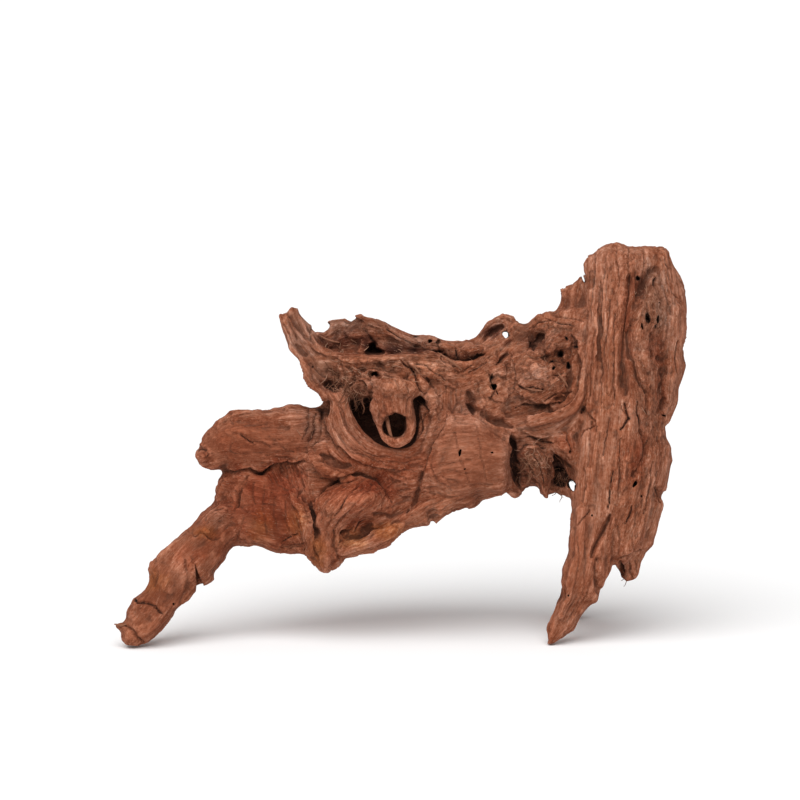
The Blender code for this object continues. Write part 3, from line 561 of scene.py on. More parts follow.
# The relief on the front, as ridges (above zero) and furrows (below zero): height, half width,
# then the line's places of x and z.
RELIEF = [
    # the leg
    (-2.6, 1.7, [(-197, 16), (-190, 11), (-186, 6), (-181, 2)]), (1.2, 5, [(-194, 9), (-189, 3)]),
    (-1.7, 1.4, [(-188, 33), (-186.5, 30), (-180, 30), (-173, 27.5), (-171, 24), (-168, 21)]),
    (-1.0, 7, [(-187, 23), (-178, 18)]), (1.6, 7, [(-176, 57), (-168, 48), (-164, 38)]),
    (-1.2, 3, [(-156, 30), (-152, 40), (-151, 50), (-153, 60)]),
    (-1.0, 2, [(-174, 62), (-172, 50), (-174, 42)]), (1.2, 3, [(-149, 40), (-148, 52), (-150, 62)]),
    (-1.0, 1.1, [(-152, 82), (-149, 77), (-146, 76), (-142, 79), (-138, 76), (-133, 74),
                 (-128, 75.5)]),
    (0.9, 2.5, [(-152, 79), (-147, 82), (-141, 82), (-136, 79)]),
    (-1.4, 1.1, [(-139, 86), (-138, 91), (-132, 94), (-126, 95.5)]),
    (-1.4, 1.6, [(-117, 108), (-116, 98)]), (-1.2, 1.4, [(-105, 114), (-106, 104), (-104, 99)]),
    (-1.5, 1.8, [(-108, 119), (-114, 111), (-116, 103), (-119, 94)]),
    (-0.9, 1.5, [(-111, 90), (-114, 82), (-117, 74)]),
    (1.0, 3, [(-124, 118), (-128, 108), (-130, 100)]),
    (1.0, 4, [(-122, 92), (-127, 82), (-126, 72)]),
    # the arm
    (-1.6, 5, [(-120, 156), (-100, 153.5), (-80, 152)]),
    (1.3, 4.5, [(-124, 151), (-112, 147), (-100, 140), (-84, 136)]),
    (-1.8, 1.0, [(-114, 147), (-109, 144), (-104, 141)]),
    (-1.7, 1.0, [(-146, 134), (-144, 138), (-141, 138.5), (-137, 136), (-136, 133), (-138, 130)]),
    (1.3, 3, [(-142, 134), (-139, 133)]),
    (-2.6, 2.4, [(-128, 121.5), (-118, 122.5), (-107, 124), (-103, 120.5), (-98, 120.5), (-92, 125),
                 (-88, 127), (-70, 128)]),
    (-2.2, 1.3, [(-104, 120.5), (-99, 120), (-95, 122.5), (-91, 126)]),
    (-1.3, 1.4, [(-66, 165), (-67, 153), (-70, 144)]),
    (-1.4, 1.4, [(-61, 163), (-63, 151), (-66, 142)]),
    (-1.2, 1.2, [(-57, 162), (-58, 151), (-60, 143)]),
    (1.0, 1.4, [(-64, 160), (-65, 150), (-68, 143)]),
    (-1.7, 0.9, [(-64, 140), (-61, 143), (-56, 145.5)]), (-3.0, 2.4, [(-123, 163), (-120, 164)]),
    (-3.0, 2.0, [(-85, 163), (-81, 165)]), (-0.9, 1.6, [(-96, 133), (-84, 131), (-74, 131)]),
    (0.9, 3, [(-92, 146), (-78, 144)]),
    # the body
    (3.2, 3.8, [(-66, 138), (-63, 130), (-58, 124.5), (-50, 120.5), (-40, 119)]),
    (-2.4, 3.2, [(-57, 134), (-48, 127.5), (-38, 126)]),
    (3.0, 3.6, [(-79, 107), (-73, 97), (-69, 86), (-67, 76), (-65, 64)]),
    (-2.3, 2.4, [(-78, 97), (-73, 87), (-70, 77), (-68, 66)]),
    (-2.6, 2.2, [(-65, 101), (-63, 89), (-61, 79), (-62, 69), (-60, 60)]),
    (2.0, 5, [(-57, 80), (-54, 66), (-54, 56)]), (-2.2, 2.2, [(-49, 80), (-48, 69), (-45, 60)]),
    (-2.2, 2.0, [(-63, 100), (-58, 107), (-52, 112), (-42, 117.5), (-30, 119.5), (-20, 116),
                 (-12, 108), (-8, 100)]),
    (2.6, 9, [(-53, 96), (-38, 102), (-24, 104)]),
    (-2.0, 1.1, [(-31, 113), (-38, 105), (-42, 100), (-48, 91)]),
    (-2.0, 1.1, [(-26, 88), (-31, 84), (-34, 80)]),
    (-1.0, 1.2, [(-27, 116), (-40, 105), (-50, 95), (-52, 84)]),
    (-1.0, 1.2, [(-21, 112), (-32, 100), (-44, 88), (-50, 78)]),
    (-0.8, 1.1, [(-57, 105), (-59, 96), (-57, 86)]),
    (-0.9, 1.2, [(-35, 115), (-46, 108), (-54, 98)]),
    (-3.0, 3.2, [(12, 121), (11, 111), (8, 100), (2, 94)]),
    (-2.4, 3, [(-22, 92), (-8, 91), (3, 96)]), (-3.2, 5, [(-43, 77), (-33, 77), (-22, 85)]),
    (2.2, 4.5, [(-46, 65), (-32, 69), (-16, 74), (0, 85)]),
    (1.4, 1.6, [(-88, 69), (-84, 74), (-76, 79), (-70, 78)]),
    (1.3, 1.5, [(-86, 66.5), (-78, 70), (-67, 74)]), (-1.6, 1.2, [(-86, 72), (-80, 76), (-74, 79)]),
    (-1.6, 1.1, [(-82, 68.5), (-74, 71.5), (-68, 71.5)]),
    (-0.8, 1.3, [(-97, 112), (-98, 96), (-96, 78)]),
    (-0.8, 1.2, [(-90, 105), (-90, 90), (-88, 80)]),
    (-0.8, 1.2, [(-83, 101), (-83, 88), (-80, 80)]), (0.8, 2.0, [(-94, 110), (-94, 92), (-92, 78)]),
    (-1.3, 2.0, [(-72, 118), (-70, 110), (-74, 104)]),
    (-1.1, 1.2, [(-50, 166), (-48, 152), (-41, 141), (-31, 133.5), (-15, 129), (0, 128),
                 (12, 131)]),
    (-1.0, 1.1, [(-45, 146), (-41, 139), (-35, 134.5), (-22, 130.5), (-5, 124), (8, 122)]),
    (-0.9, 1.0, [(-38, 138), (-28, 134.5), (-14, 132.5), (0, 133.5)]),
    (-1.0, 1.3, [(-40, 131), (-28, 126), (-12, 122), (2, 117)]),
    (1.0, 2.0, [(-34, 129), (-22, 125.5), (-8, 120), (2, 113)]),
    (-2.4, 1.9, [(30, 164), (28, 153), (22, 143), (17, 133), (15, 122), (12, 112)]),
    (1.6, 3.6, [(22, 162), (18, 147), (14, 136)]),
    (1.2, 4, [(34, 160), (32, 148), (26, 136), (22, 124)]),
    (-1.6, 1.3, [(12, 162), (13, 153), (10, 145)]), (-1.5, 1.2, [(14, 170), (17, 164), (13, 157)]),
    (-1.0, 1.2, [(20, 126), (24, 114), (34, 108)]),
    # the stump
    (1.0, 1.5, [(43, 163), (52, 158), (62, 152.5), (73, 149.5)]),
    (-3.2, 3.4, [(44, 169), (55, 163), (65, 157), (76, 153.5)]),
    (1.0, 1.4, [(73.5, 148), (72.5, 130), (73, 112)]), (-1.0, 3, [(24, 106), (40, 101), (58, 106)]),
    (-0.8, 2, [(28, 118), (44, 112), (62, 113)]), (-0.7, 1.4, [(36, 150), (40, 130), (46, 114)]),
    (-0.6, 1.3, [(52, 150), (54, 132), (58, 116)]),
    # the horn and the lip
    (0.9, 2, [(-86, 230), (-84, 219), (-79, 207), (-73, 197), (-69, 187)]),
    (2.2, 2.0, [(-82, 232), (-78, 224), (-71, 215), (-61, 208), (-52, 203)]),
    (-1.8, 3.6, [(-84, 224), (-77, 211), (-68, 203)]),
    (-1.4, 0.9, [(-64, 222), (-66, 218), (-66, 214)]), (-1.4, 1.1, [(-80.5, 219), (-79, 214)]),
    (-1.2, 1.0, [(-75, 218), (-74.5, 214)]), (-5.0, 6.0, [(-55, 184), (-44, 182)]),
    (-1.6, 2.0, [(-44, 197), (-40, 190), (-42, 180)]),
    (1.5, 4.5, [(-55, 174), (-47, 163), (-43, 152), (-35, 143), (-22, 136.5), (-6, 134)]),
    (-1.8, 1.8, [(-57, 168), (-54, 152), (-47, 141), (-37, 132)]),
    (-0.9, 1.0, [(-47, 172), (-42, 160), (-39, 150), (-31, 142)]),
    # the fibres, the rim and the cup
    (1.6, 2.2, [(-50, 203), (-40, 201.5), (-28, 200.5), (-12, 200.5), (-2, 204), (12, 204),
                (22, 203)]),
    (-2.0, 1.1, [(-2, 200), (3, 195), (7, 192), (9, 197), (17, 196)]),
    (-1.8, 1.1, [(3, 198), (8, 190), (10, 183), (14, 176)]),
    (-1.4, 1.0, [(15, 196), (24, 190), (30, 186)]),
    (-2.4, 3.0, [(-30, 194), (-22, 190), (-16, 188)]),
    (1.4, 2.0, [(-24, 184), (-18, 189), (-10, 192)]),
    (-2.0, 1.6, [(-38, 196), (-34, 188), (-38, 180)]),
    (-1.8, 1.4, [(-30, 186), (-26, 180), (-32, 176)]),
    (1.5, 1.3, [(-34, 196), (-30, 187), (-34, 179)]),
    (1.4, 1.2, [(-42, 194), (-37, 186), (-40, 180)]),
    (-1.8, 1.6, [(16, 188), (20, 181), (14, 175)]), (1.4, 2.0, [(20, 192), (28, 185), (36, 181)]),
    (-2.2, 1.8, [(24, 204), (30, 199), (36, 195)]), (1.5, 1.6, [(26, 200), (32, 195), (40, 192)]),
    (-5.0, 1.55, [(22, 206), (29, 203), (36, 202), (44, 201.5), (50, 202), (57, 204.5)]),
    (-3.0, 1.4, [(36, 208.5), (36.5, 205), (38, 202)]),
    (3.4, 3.0, [(27, 209), (32, 208), (35, 206)]), (3.6, 2.8, [(41, 206), (48, 205.5), (55, 207)]),
    (2.4, 3.0, [(16, 212), (20, 213), (25, 211)]), (1.5, 2.2, [(8, 207), (20, 208), (34, 206)]),
    (-2.2, 1.6, [(0, 214), (12, 208), (22, 206)]), (-2.0, 1.4, [(-12, 222), (-2, 216), (6, 213)]),
    (1.2, 1.4, [(-24, 226), (-12, 220), (-2, 213)]),
    (-1.6, 1.4, [(-28, 222), (-22, 214), (-18, 208)]),
    (1.6, 1.0, [(-59, 216.5), (-52, 213.5), (-45, 212)]),
    # the craggy middle
    (-2.6, 1.7, [(117, 218), (121, 210), (122, 200), (123, 190), (122, 178), (118, 171),
                 (110, 166.5), (100, 165)]),
    (2.0, 3.0, [(127, 204), (127, 188), (125, 174), (119, 164), (108, 158.5), (94, 156),
                (80, 153)]),
    (-3.0, 3.0, [(111, 201), (116, 195), (117, 187), (115, 179)]),
    (-3.2, 1.7, [(99, 171), (104, 175), (111, 177), (117, 178)]),
    (-2.0, 1.3, [(108, 169), (112, 173), (115, 177)]),
    (-1.6, 1.0, [(78, 167), (85, 168.5), (92, 168.5), (104, 168.5), (111, 171)]),
    (-2.0, 1.3, [(79, 186), (79.5, 182), (83, 180), (90, 180.5), (98, 178)]),
    (1.6, 6, [(86, 189), (92, 192), (100, 190)]), (1.5, 5, [(104, 183), (110, 184)]),
    (-3.6, 5.0, [(46, 177), (47, 170), (49, 164)]), (1.0, 2, [(54, 177), (56, 170), (53, 163)]),
    (-3.6, 4.0, [(57, 213), (63, 219), (69, 222), (72, 218)]),
    (1.6, 1.8, [(54, 218), (60, 226), (70, 230), (77, 228)]),
    (-2.6, 1.7, [(65, 196), (69, 201), (73, 206)]), (-1.8, 1.2, [(43, 192), (48, 196)]),
    (-1.5, 1.3, [(58, 199), (52, 194), (46, 191)]), (1.4, 3, [(57, 203), (66, 209), (76, 217)]),
    (-5.0, 5.5, [(88, 216), (95, 216), (98, 218)]), (-4.0, 3.5, [(90, 211), (91, 208)]),
    (1.2, 1.6, [(84, 221), (92, 221.5), (101, 221)]),
    (-1.6, 1.2, [(88, 222), (94, 226), (103, 228)]),
    (-1.5, 1.1, [(99, 230), (108, 226), (119, 223)]),
    (1.2, 1.8, [(92, 229), (104, 225), (116, 221)]),
    (-1.2, 1.0, [(104, 232), (114, 229), (126, 228)]),
    (-1.8, 1.1, [(104, 186.5), (108, 190), (113, 191)]),
    (-1.4, 1.1, [(101, 197), (105, 200), (110, 199)]),
    (-1.6, 0.9, [(115, 149), (115.5, 142), (117, 136)]), (2.0, 6.5, [(112, 143), (114, 137)]),
    (-1.6, 1.3, [(128, 169), (125, 163)]), (-1.4, 1.1, [(124, 146), (128, 150), (133, 154)]),
    (-1.2, 1.0, [(133, 150), (136, 154)]), (-1.4, 1.5, [(60, 172), (64, 180), (60, 190)]),
    (1.6, 3.5, [(68, 196), (72, 186), (72, 174)]), (-1.2, 1.4, [(76, 200), (78, 190), (76, 176)]),
    (1.2, 2.4, [(82, 176), (92, 174), (102, 170)]), (-1.6, 2.2, [(88, 161), (98, 163), (110, 164)]),
    (1.4, 2.2, [(100, 205), (108, 212), (116, 216)]),
    (-1.3, 1.4, [(94, 203), (100, 206), (106, 214)]),
    (-1.0, 1.3, [(56, 168), (60, 161), (64, 155)]), (1.2, 4, [(62, 164), (70, 160)]),
    # the fibrous knot and the dark gaps
    (-1.8, 1.3, [(80, 135), (84, 140.5), (92, 141.5), (99, 138)]),
    (1.5, 1.6, [(83, 134), (87, 137.5), (93, 138)]), (-1.7, 1.3, [(80, 127), (84, 121), (90, 117)]),
    (-1.8, 1.3, [(90, 135), (95, 128), (97, 119), (99, 110)]),
    (1.4, 1.5, [(87, 130), (91, 124), (94, 116)]), (-1.6, 1.2, [(84, 131), (88, 124), (92, 114)]),
    (-5.0, 3.0, [(77, 148), (76.5, 138), (77, 128), (80, 118), (82, 111)]),
    (-4.0, 5.0, [(106, 127), (112, 124)]), (-3.0, 4.0, [(106, 116), (113, 112)]),
    (1.8, 1.6, [(84, 151), (92, 147), (104, 146)]), (-1.8, 1.4, [(86, 146), (96, 143), (104, 141)]),
    # the slab
    (-1.3, 1.0, [(140, 263), (140, 246), (139, 226), (140.5, 211), (138, 195), (138, 180),
                 (138.5, 164)]),
    (-1.3, 1.2, [(145, 242), (143.5, 226), (141.5, 212), (140, 200)]),
    (-1.3, 1.2, [(134, 276), (133, 262), (132, 250), (131, 240), (131, 226)]),
    (-1.0, 1.0, [(149, 281), (150, 262), (150, 245), (149, 232), (150, 221)]),
    (-2.0, 2.6, [(154, 240), (153, 226), (152, 206), (152, 193), (153, 181)]),
    (-2.8, 3.2, [(160, 224), (158.5, 215), (159, 203), (162, 193), (166, 184), (171, 176)]),
    (-3.0, 5.0, [(176, 265), (170, 255), (166, 245), (162, 235), (160, 225)]),
    (-2.2, 1.6, [(163, 262), (164, 255), (163, 249)]), (-2.0, 1.5, [(177, 258), (176, 251)]),
    (2.0, 4, [(162, 215), (168, 208)]), (-2.8, 5.0, [(174, 219), (176, 210), (175, 201)]),
    (-1.4, 1.2, [(183, 271), (186, 256), (188, 247), (192, 243)]),
    (1.2, 3, [(179, 262), (181, 248), (184, 236)]),
    (-2.2, 1.4, [(163, 171), (165, 161), (165.5, 152)]),
    (-2.4, 1.5, [(155, 169), (156, 163), (158, 158)]),
    (-2.6, 1.5, [(151, 151), (155, 156), (158, 160)]),
    (-2.4, 2.2, [(171, 178), (170, 169), (172, 162)]),
    (-2.0, 4.0, [(180, 202), (183, 191), (180, 178), (182, 166)]),
    (1.4, 2.4, [(176, 196), (175, 184), (177, 172)]),
    (1.2, 2.2, [(188, 205), (190, 192), (187, 178)]),
    (-1.6, 1.2, [(192, 214), (190, 200), (192, 190)]),
    (-2.8, 4.2, [(166, 151), (168.5, 141), (168, 131), (164, 124), (161, 119)]),
    (-2.4, 1.3, [(146, 123), (145, 112), (144, 103), (143, 95)]),
    (-2.8, 3.2, [(145, 91), (142, 84), (138, 76), (134, 68), (132, 62)]),
    (-1.6, 1.0, [(131, 95), (127, 90), (121, 84)]), (-2.2, 1.3, [(160, 98), (158, 90), (155, 86)]),
    (-2.6, 3.8, [(136, 61), (135, 53), (137, 43), (138, 35)]),
    (-0.9, 1.2, [(122, 76), (122, 60), (121, 45), (118, 32), (112, 22)]),
    (-0.9, 1.2, [(127, 73), (127, 55), (126, 40), (122, 28), (114, 16)]),
    (-0.8, 1.1, [(132, 58), (131, 44), (128, 34), (120, 22)]),
    (-5.0, 7.0, [(158, 258), (155, 240), (154, 222), (154, 205), (154, 190), (155, 176)]),
    (3.2, 6.0, [(166, 242), (165, 224), (167, 208), (170, 194)]),
    (2.4, 6.0, [(191, 238), (188, 214), (186, 192)]),
    (-3.2, 6.0, [(178, 224), (177, 208), (175, 194)]), (-2.6, 5.0, [(173, 264), (164, 246)]),
    (-2.6, 5.0, [(182, 172), (178, 156), (178, 142)]),
    (2.0, 5.0, [(160, 172), (159, 150), (157, 130)]),
    (-2.2, 5.0, [(148, 150), (147, 130), (146, 112)]),
    (1.0, 2.2, [(118, 92), (118, 70), (116, 50), (114, 36)]),
    (-2.2, 2.6, [(109, 32), (105, 24), (101, 17), (99, 12)]),
    (-1.4, 1.4, [(148, 232), (147, 215), (148, 200), (147, 184), (148, 168)]),
    (-1.2, 1.2, [(134, 222), (133, 206), (131, 190), (131, 174)]),
    (1.2, 1.8, [(144, 278), (144, 262), (144, 250)]),
    (1.2, 2.0, [(136, 240), (135, 222), (135, 204)]),
    (1.2, 1.8, [(146, 208), (145, 192), (144, 176)]),
    (-1.3, 1.2, [(158, 280), (157, 268), (158, 256)]),
    (-1.2, 1.1, [(168, 278), (169, 268), (168, 258)]),
    (-1.4, 1.4, [(144, 160), (142, 146), (139, 132)]),
    (-1.2, 1.2, [(131, 158), (130, 140), (127, 122), (126, 104)]),
    (1.1, 2, [(136, 150), (134, 132), (132, 114)]),
    (-1.5, 1.4, [(152, 146), (151, 132), (152, 118), (150, 104)]),
    (1.2, 2.2, [(156, 140), (155, 124), (153, 108)]),
    (-1.4, 1.2, [(174, 128), (173, 116), (170, 104), (168, 92)]),
    (-1.5, 1.3, [(178, 122), (177, 110), (180, 100)]),
    (-1.2, 1.2, [(150, 84), (152, 74), (150, 64)]), (-1.0, 1.1, [(162, 86), (160, 76), (162, 66)]),
    (-1.0, 1.1, [(170, 92), (168, 80), (166, 70)]),
    (1.4, 2, [(148, 90), (145, 78), (144, 66), (144, 56)]), (-4.0, 2.4, [(152, 59), (153, 50)]),
    (-1.6, 1.2, [(150, 61), (158, 63), (167, 66)]), (-1.5, 1.0, [(159, 60), (158, 52), (160, 47)]),
    (-1.2, 1.0, [(163, 60), (163, 52)]),
]
# Steps, where one layer of wood lies over another: height, reach, and the edge's places of x and
# z. What is on the left of the edge, going along it, stands up; what is on the right sinks.
LEDGES = [
    (2.0, 6, [(-130, 121), (-118, 122.5), (-107, 124), (-98, 121), (-90, 126), (-78, 128),
              (-66, 131)]),
    (1.8, 7, [(-8, 100), (-13, 109), (-20, 116), (-30, 119), (-42, 117), (-52, 111), (-60, 101),
              (-62, 90)]),
    (1.8, 7, [(-58, 170), (-55, 154), (-48, 141), (-38, 132), (-22, 126), (-4, 123), (10, 124)]),
    (2.4, 5, [(75, 149.5), (63, 152.5), (52, 158), (42, 164)]),
    (2.0, 8, [(31, 166), (28, 153), (22, 143), (17, 132), (13, 118), (10, 106)]),
    (2.6, 6, [(118, 220), (123, 208), (124.5, 194), (122.5, 178), (115, 168.5), (103, 163),
              (88, 160), (76, 158)]),
    (1.6, 4, [(78, 184), (84, 181), (98, 177)]), (1.6, 4, [(112, 186), (106, 189), (100, 186)]),
    (1.5, 4, [(94, 200), (88, 195), (80, 197)]), (1.5, 4, [(75, 205), (70, 200), (63, 195)]),
    (1.4, 4, [(60, 188), (66, 190), (74, 186)]), (1.4, 4, [(58, 176), (64, 172), (72, 170)]),
    (1.5, 4, [(82, 170), (92, 168), (104, 168)]),
    (1.6, 5, [(84, 204), (92, 202), (102, 204), (110, 210)]),
    (2.0, 7, [(154, 180), (152.5, 192), (153, 206), (153.5, 226), (155, 242), (158, 258)]),
    (1.8, 6, [(159, 226), (158.5, 214), (160, 202), (164, 190), (171, 176)]),
    (1.6, 6, [(147, 92), (142, 82), (136, 72), (132, 60)]),
    (1.5, 6, [(161, 118), (167, 130), (168.5, 142), (165, 154)]),
    (1.4, 5, [(183, 194), (181, 180), (184, 164)]),
    (1.4, 6, [(178, 270), (180, 254), (186, 240), (190, 226)]),
    (1.4, 5, [(126, 128), (128, 110), (126, 96)]), (1.4, 5, [(134, 62), (136, 48), (140, 38)]),
    (1.3, 5, [(172, 122), (168, 108), (166, 92)]),
    (1.3, 6, [(139, 262), (140, 240), (139, 216), (138, 190)]),
    (1.3, 4, [(-189, 33), (-186, 30.5), (-178, 29.5), (-172, 26), (-168, 20)]),
    (1.1, 4, [(-127, 75), (-134, 74), (-140, 77.5), (-146, 76), (-152, 81)]),
    (1.8, 5, [(24, 203.5), (10, 204), (-4, 203), (-20, 200.5), (-38, 201), (-52, 203)]),
    (1.6, 4, [(3, 199), (8, 190), (12, 182), (14, 174)]),
    (1.5, 4, [(24, 204), (32, 196), (42, 190)]),
    (1.5, 4, [(-22, 176), (-24, 184), (-34, 190), (-44, 198)]),
    (1.4, 4, [(-40, 178), (-38, 186), (-30, 193)]),
    (1.6, 5, [(-63, 62), (-62, 76), (-64, 90), (-68, 104)]),
    (1.5, 5, [(-30, 86), (-38, 78), (-46, 76)]),
    (1.5, 5, [(4, 88), (-10, 84), (-26, 78), (-42, 72)]),
    (1.2, 4, [(-68, 70), (-78, 68), (-88, 68)]), (1.2, 4, [(-68, 78), (-78, 77), (-86, 72)]),
    (1.2, 5, [(-118, 94), (-116, 106), (-108, 118)]),
    (1.2, 5, [(-144, 141), (-138, 137), (-137, 130)]),
    (1.2, 6, [(-124, 152), (-108, 146), (-88, 138)]),
    (1.5, 5, [(-60, 208), (-70, 215), (-78, 226), (-82, 234)]),
    (1.3, 4, [(-52, 186), (-60, 190), (-68, 198)]), (1.3, 4, [(12, 162), (13, 152), (10, 144)]),
    (1.2, 4, [(126, 170), (134, 158), (136, 146)]),
]
# Craggy, torn places: strength, then ovals of x, z, half width and half height.
CRAGGY = [
    (1.0, [(94, 190, 30, 24), (2, 194, 40, 9), (30, 208, 34, 7), (94, 126, 14, 20),
           (106, 214, 20, 14)]),
    (0.8, [(-38, 188, 14, 14), (174, 190, 14, 60), (-30, 220, 26, 10), (60, 190, 20, 20)]),
    (0.5, [(160, 110, 18, 40), (164, 256, 14, 20), (-60, 84, 12, 24), (112, 120, 12, 20),
           (66, 224, 14, 12)]),
]
# Places worn smooth: strength, then ovals of x, z, half width and half height.
SMOOTH_WORN = [
    (1.0, [(46, 132, 27, 25), (-112, 143, 30, 13)]),
    (0.8, [(-100, 98, 24, 24), (-140, 74, 20, 18), (-170, 40, 18, 20), (-56, 70, 8, 14)]),
    (0.6, [(122, 70, 10, 40), (-60, 196, 12, 10), (-80, 142, 16, 12), (-186, 14, 14, 12)]),
]
WOBBLE = ((7.0, 0.9), (2.6, 0.4))  # a line wanders this much over so many millimetres
OFF_MOST = 9.0  # stands for any place further off a line
END_WIDTH = 0.4  # a line's share of its width at its ends
END_FADE = 2.5
FRONT_SQUARE = 1.5  # squares in which the nearest place is looked for
SLACK = 7.0  # a place this far behind the nearest one is still the front
SLACK_FADE = 3.0
SINK_MOST = 8.0
RISE_MOST = 5.0
CRACK_DEEP = -1.25  # a furrow at least this deep and narrower than CRACK_NARROW is a crack, darkened with painted shade
CRACK_NARROW = 1.6
CRACK_FULL = 2.4  # a crack this deep gets the full painted shade
SHEER = 1.5  # the power that makes a ridge's sides steeper than a half cosine
LEDGE_SINKS = 0.8  # how much the low side sinks, as a share of the high side's rise
# how dark the painted shade is along the foot of a step, on its low side
LEDGE_SHADE = 0.55


def front_share(places, facing):
    """1 where a place is the nearest to the viewer, 0 where something hides it: the least depth is
    found in each square of the view, and what lies further back than the slack is hidden."""
    at = np.floor((places[:, :2] - VIEW_LOW) / FRONT_SQUARE).astype(int)
    nearest = np.full((at[:, 0].max() + 2, at[:, 1].max() + 2), np.inf)
    np.minimum.at(nearest, (at[:, 0], at[:, 1]), places[:, 2])
    behind = places[:, 2] - nearest[at[:, 0], at[:, 1]]
    return np.clip((SLACK - behind) / SLACK_FADE, 0, 1) * np.clip((facing + 0.15) / 0.4, 0, 1)


def near_line(where, line, reach):
    """Which places are in a bent line's box, grown by the reach."""
    return np.flatnonzero(((where > line.min(0) - reach) & (where < line.max(0) + reach)).all(1))


def to_legs(places, line):
    """For each straight leg of a bent line: the way to each place from the leg's nearest point,
    the leg's direction, and how far along the whole line that point is, from 0 to 1."""
    legs = np.diff(line, axis=0)
    lengths = np.hypot(*legs.T)
    begun = np.append(0, np.cumsum(lengths))
    for start, leg, length, begin in zip(line, legs, lengths, begun):
        share = np.clip((places - start) @ leg / length**2, 0, 1)
        travelled = (begin + share * length) / begun[-1]
        yield places - start - share[:, None] * leg, leg / length, travelled


def along_line(where, line, half_width):
    """How far each place is off a bent line, as a share of the half width there, which narrows
    to both ends as the root of a half sine does. Places further off are left at OFF_MOST."""
    line = np.array(line, float)
    chosen = near_line(where, line, half_width + 1)
    best = np.full(len(chosen), OFF_MOST)
    for away, _, travelled in to_legs(where[chosen], line):
        swelling = np.sqrt(np.sin(math.pi * np.clip(travelled, 0, 1)))
        narrowed = END_WIDTH + (1 - END_WIDTH) * swelling
        best = np.minimum(best, np.hypot(*away.T) / (half_width * narrowed))
    return chosen, best


def beside_line(where, line, reach):
    """Which places are near a bent line, how far off, and the same again with a sign: above zero
    on the left of the line. Both fade out past the line's ends."""
    line = np.array(line, float)
    chosen = near_line(where, line, reach)
    best = np.full(len(chosen), np.inf)
    side = np.zeros(len(chosen))
    along = np.zeros(len(chosen))
    for away, way, travelled in to_legs(where[chosen], line):
        off = np.hypot(*away.T)
        closer = off < best
        best[closer] = off[closer]
        side[closer] = (way[0] * away[:, 1] - way[1] * away[:, 0])[closer]
        along[closer] = travelled[closer]
    fade = 1 - np.clip(np.sin(math.pi * np.clip(along, 0, 1)) * END_FADE, 0, 1)
    return chosen, best + fade * reach, side


def carved(where, front):
    """The front relief's height at each place, and a share from 0 to 1 of painted shade in its
    cracks and at the foot of its steps.

    A ridge or furrow has the profile of a cosine, raised to a power, across its line. A step
    rises on its left and sinks on its right, and both die off as a bell curve does."""
    height = np.zeros(len(where))
    crack = np.zeros(len(where))
    for rise, half_width, line in RELIEF:
        chosen, off = along_line(where, line, half_width)
        shown = front[chosen]
        shape = np.where(off < 1, np.cos(np.clip(off, 0, 1) * math.pi / 2)**SHEER, 0) * shown
        height[chosen] += rise * shape
        if rise < CRACK_DEEP and half_width < CRACK_NARROW:
            sharp = np.clip(1.1 - off * 1.7, 0, 1) * shown
            crack[chosen] = np.maximum(crack[chosen], sharp * min(1, -rise / CRACK_FULL))
    for rise, reach, line in LEDGES:
        chosen, off, side = beside_line(where, line, 3 * reach)
        shown = front[chosen]
        low = -LEDGE_SINKS * np.exp(-(2 * off / reach)**2)
        shape = np.where(side > 0, np.exp(-(off / reach)**2), low)
        height[chosen] += rise * shape * shown * np.clip(np.abs(side) * 2.5, 0, 1)
        # Painted shade along the foot of a step, on its low side.
        edge = np.clip(1 - np.abs(side + 0.5) / 0.7, 0, 1) * shown
        dark = LEDGE_SHADE * edge * np.clip(rise - 0.9, 0, 1)
        crack[chosen] = np.maximum(crack[chosen], dark)
    return np.clip(height, -SINK_MOST, RISE_MOST), crack


def oval_off(where, oval):
    """How far each place is from an oval's middle, as a share of the way to its rim."""
    x, z, half_width, half_height = oval
    return np.hypot((where[:, 0] - x) / half_width, (where[:, 1] - z) / half_height)


def ovals_share(where, table):
    """The greatest share of any oval at each place: full inside, fading over its rim."""
    most = np.zeros(len(where))
    for strength, ovals in table:
        for oval in ovals:
            most = np.maximum(most, strength * np.clip((1.3 - oval_off(where, oval)) / 0.6, 0, 1))
    return most


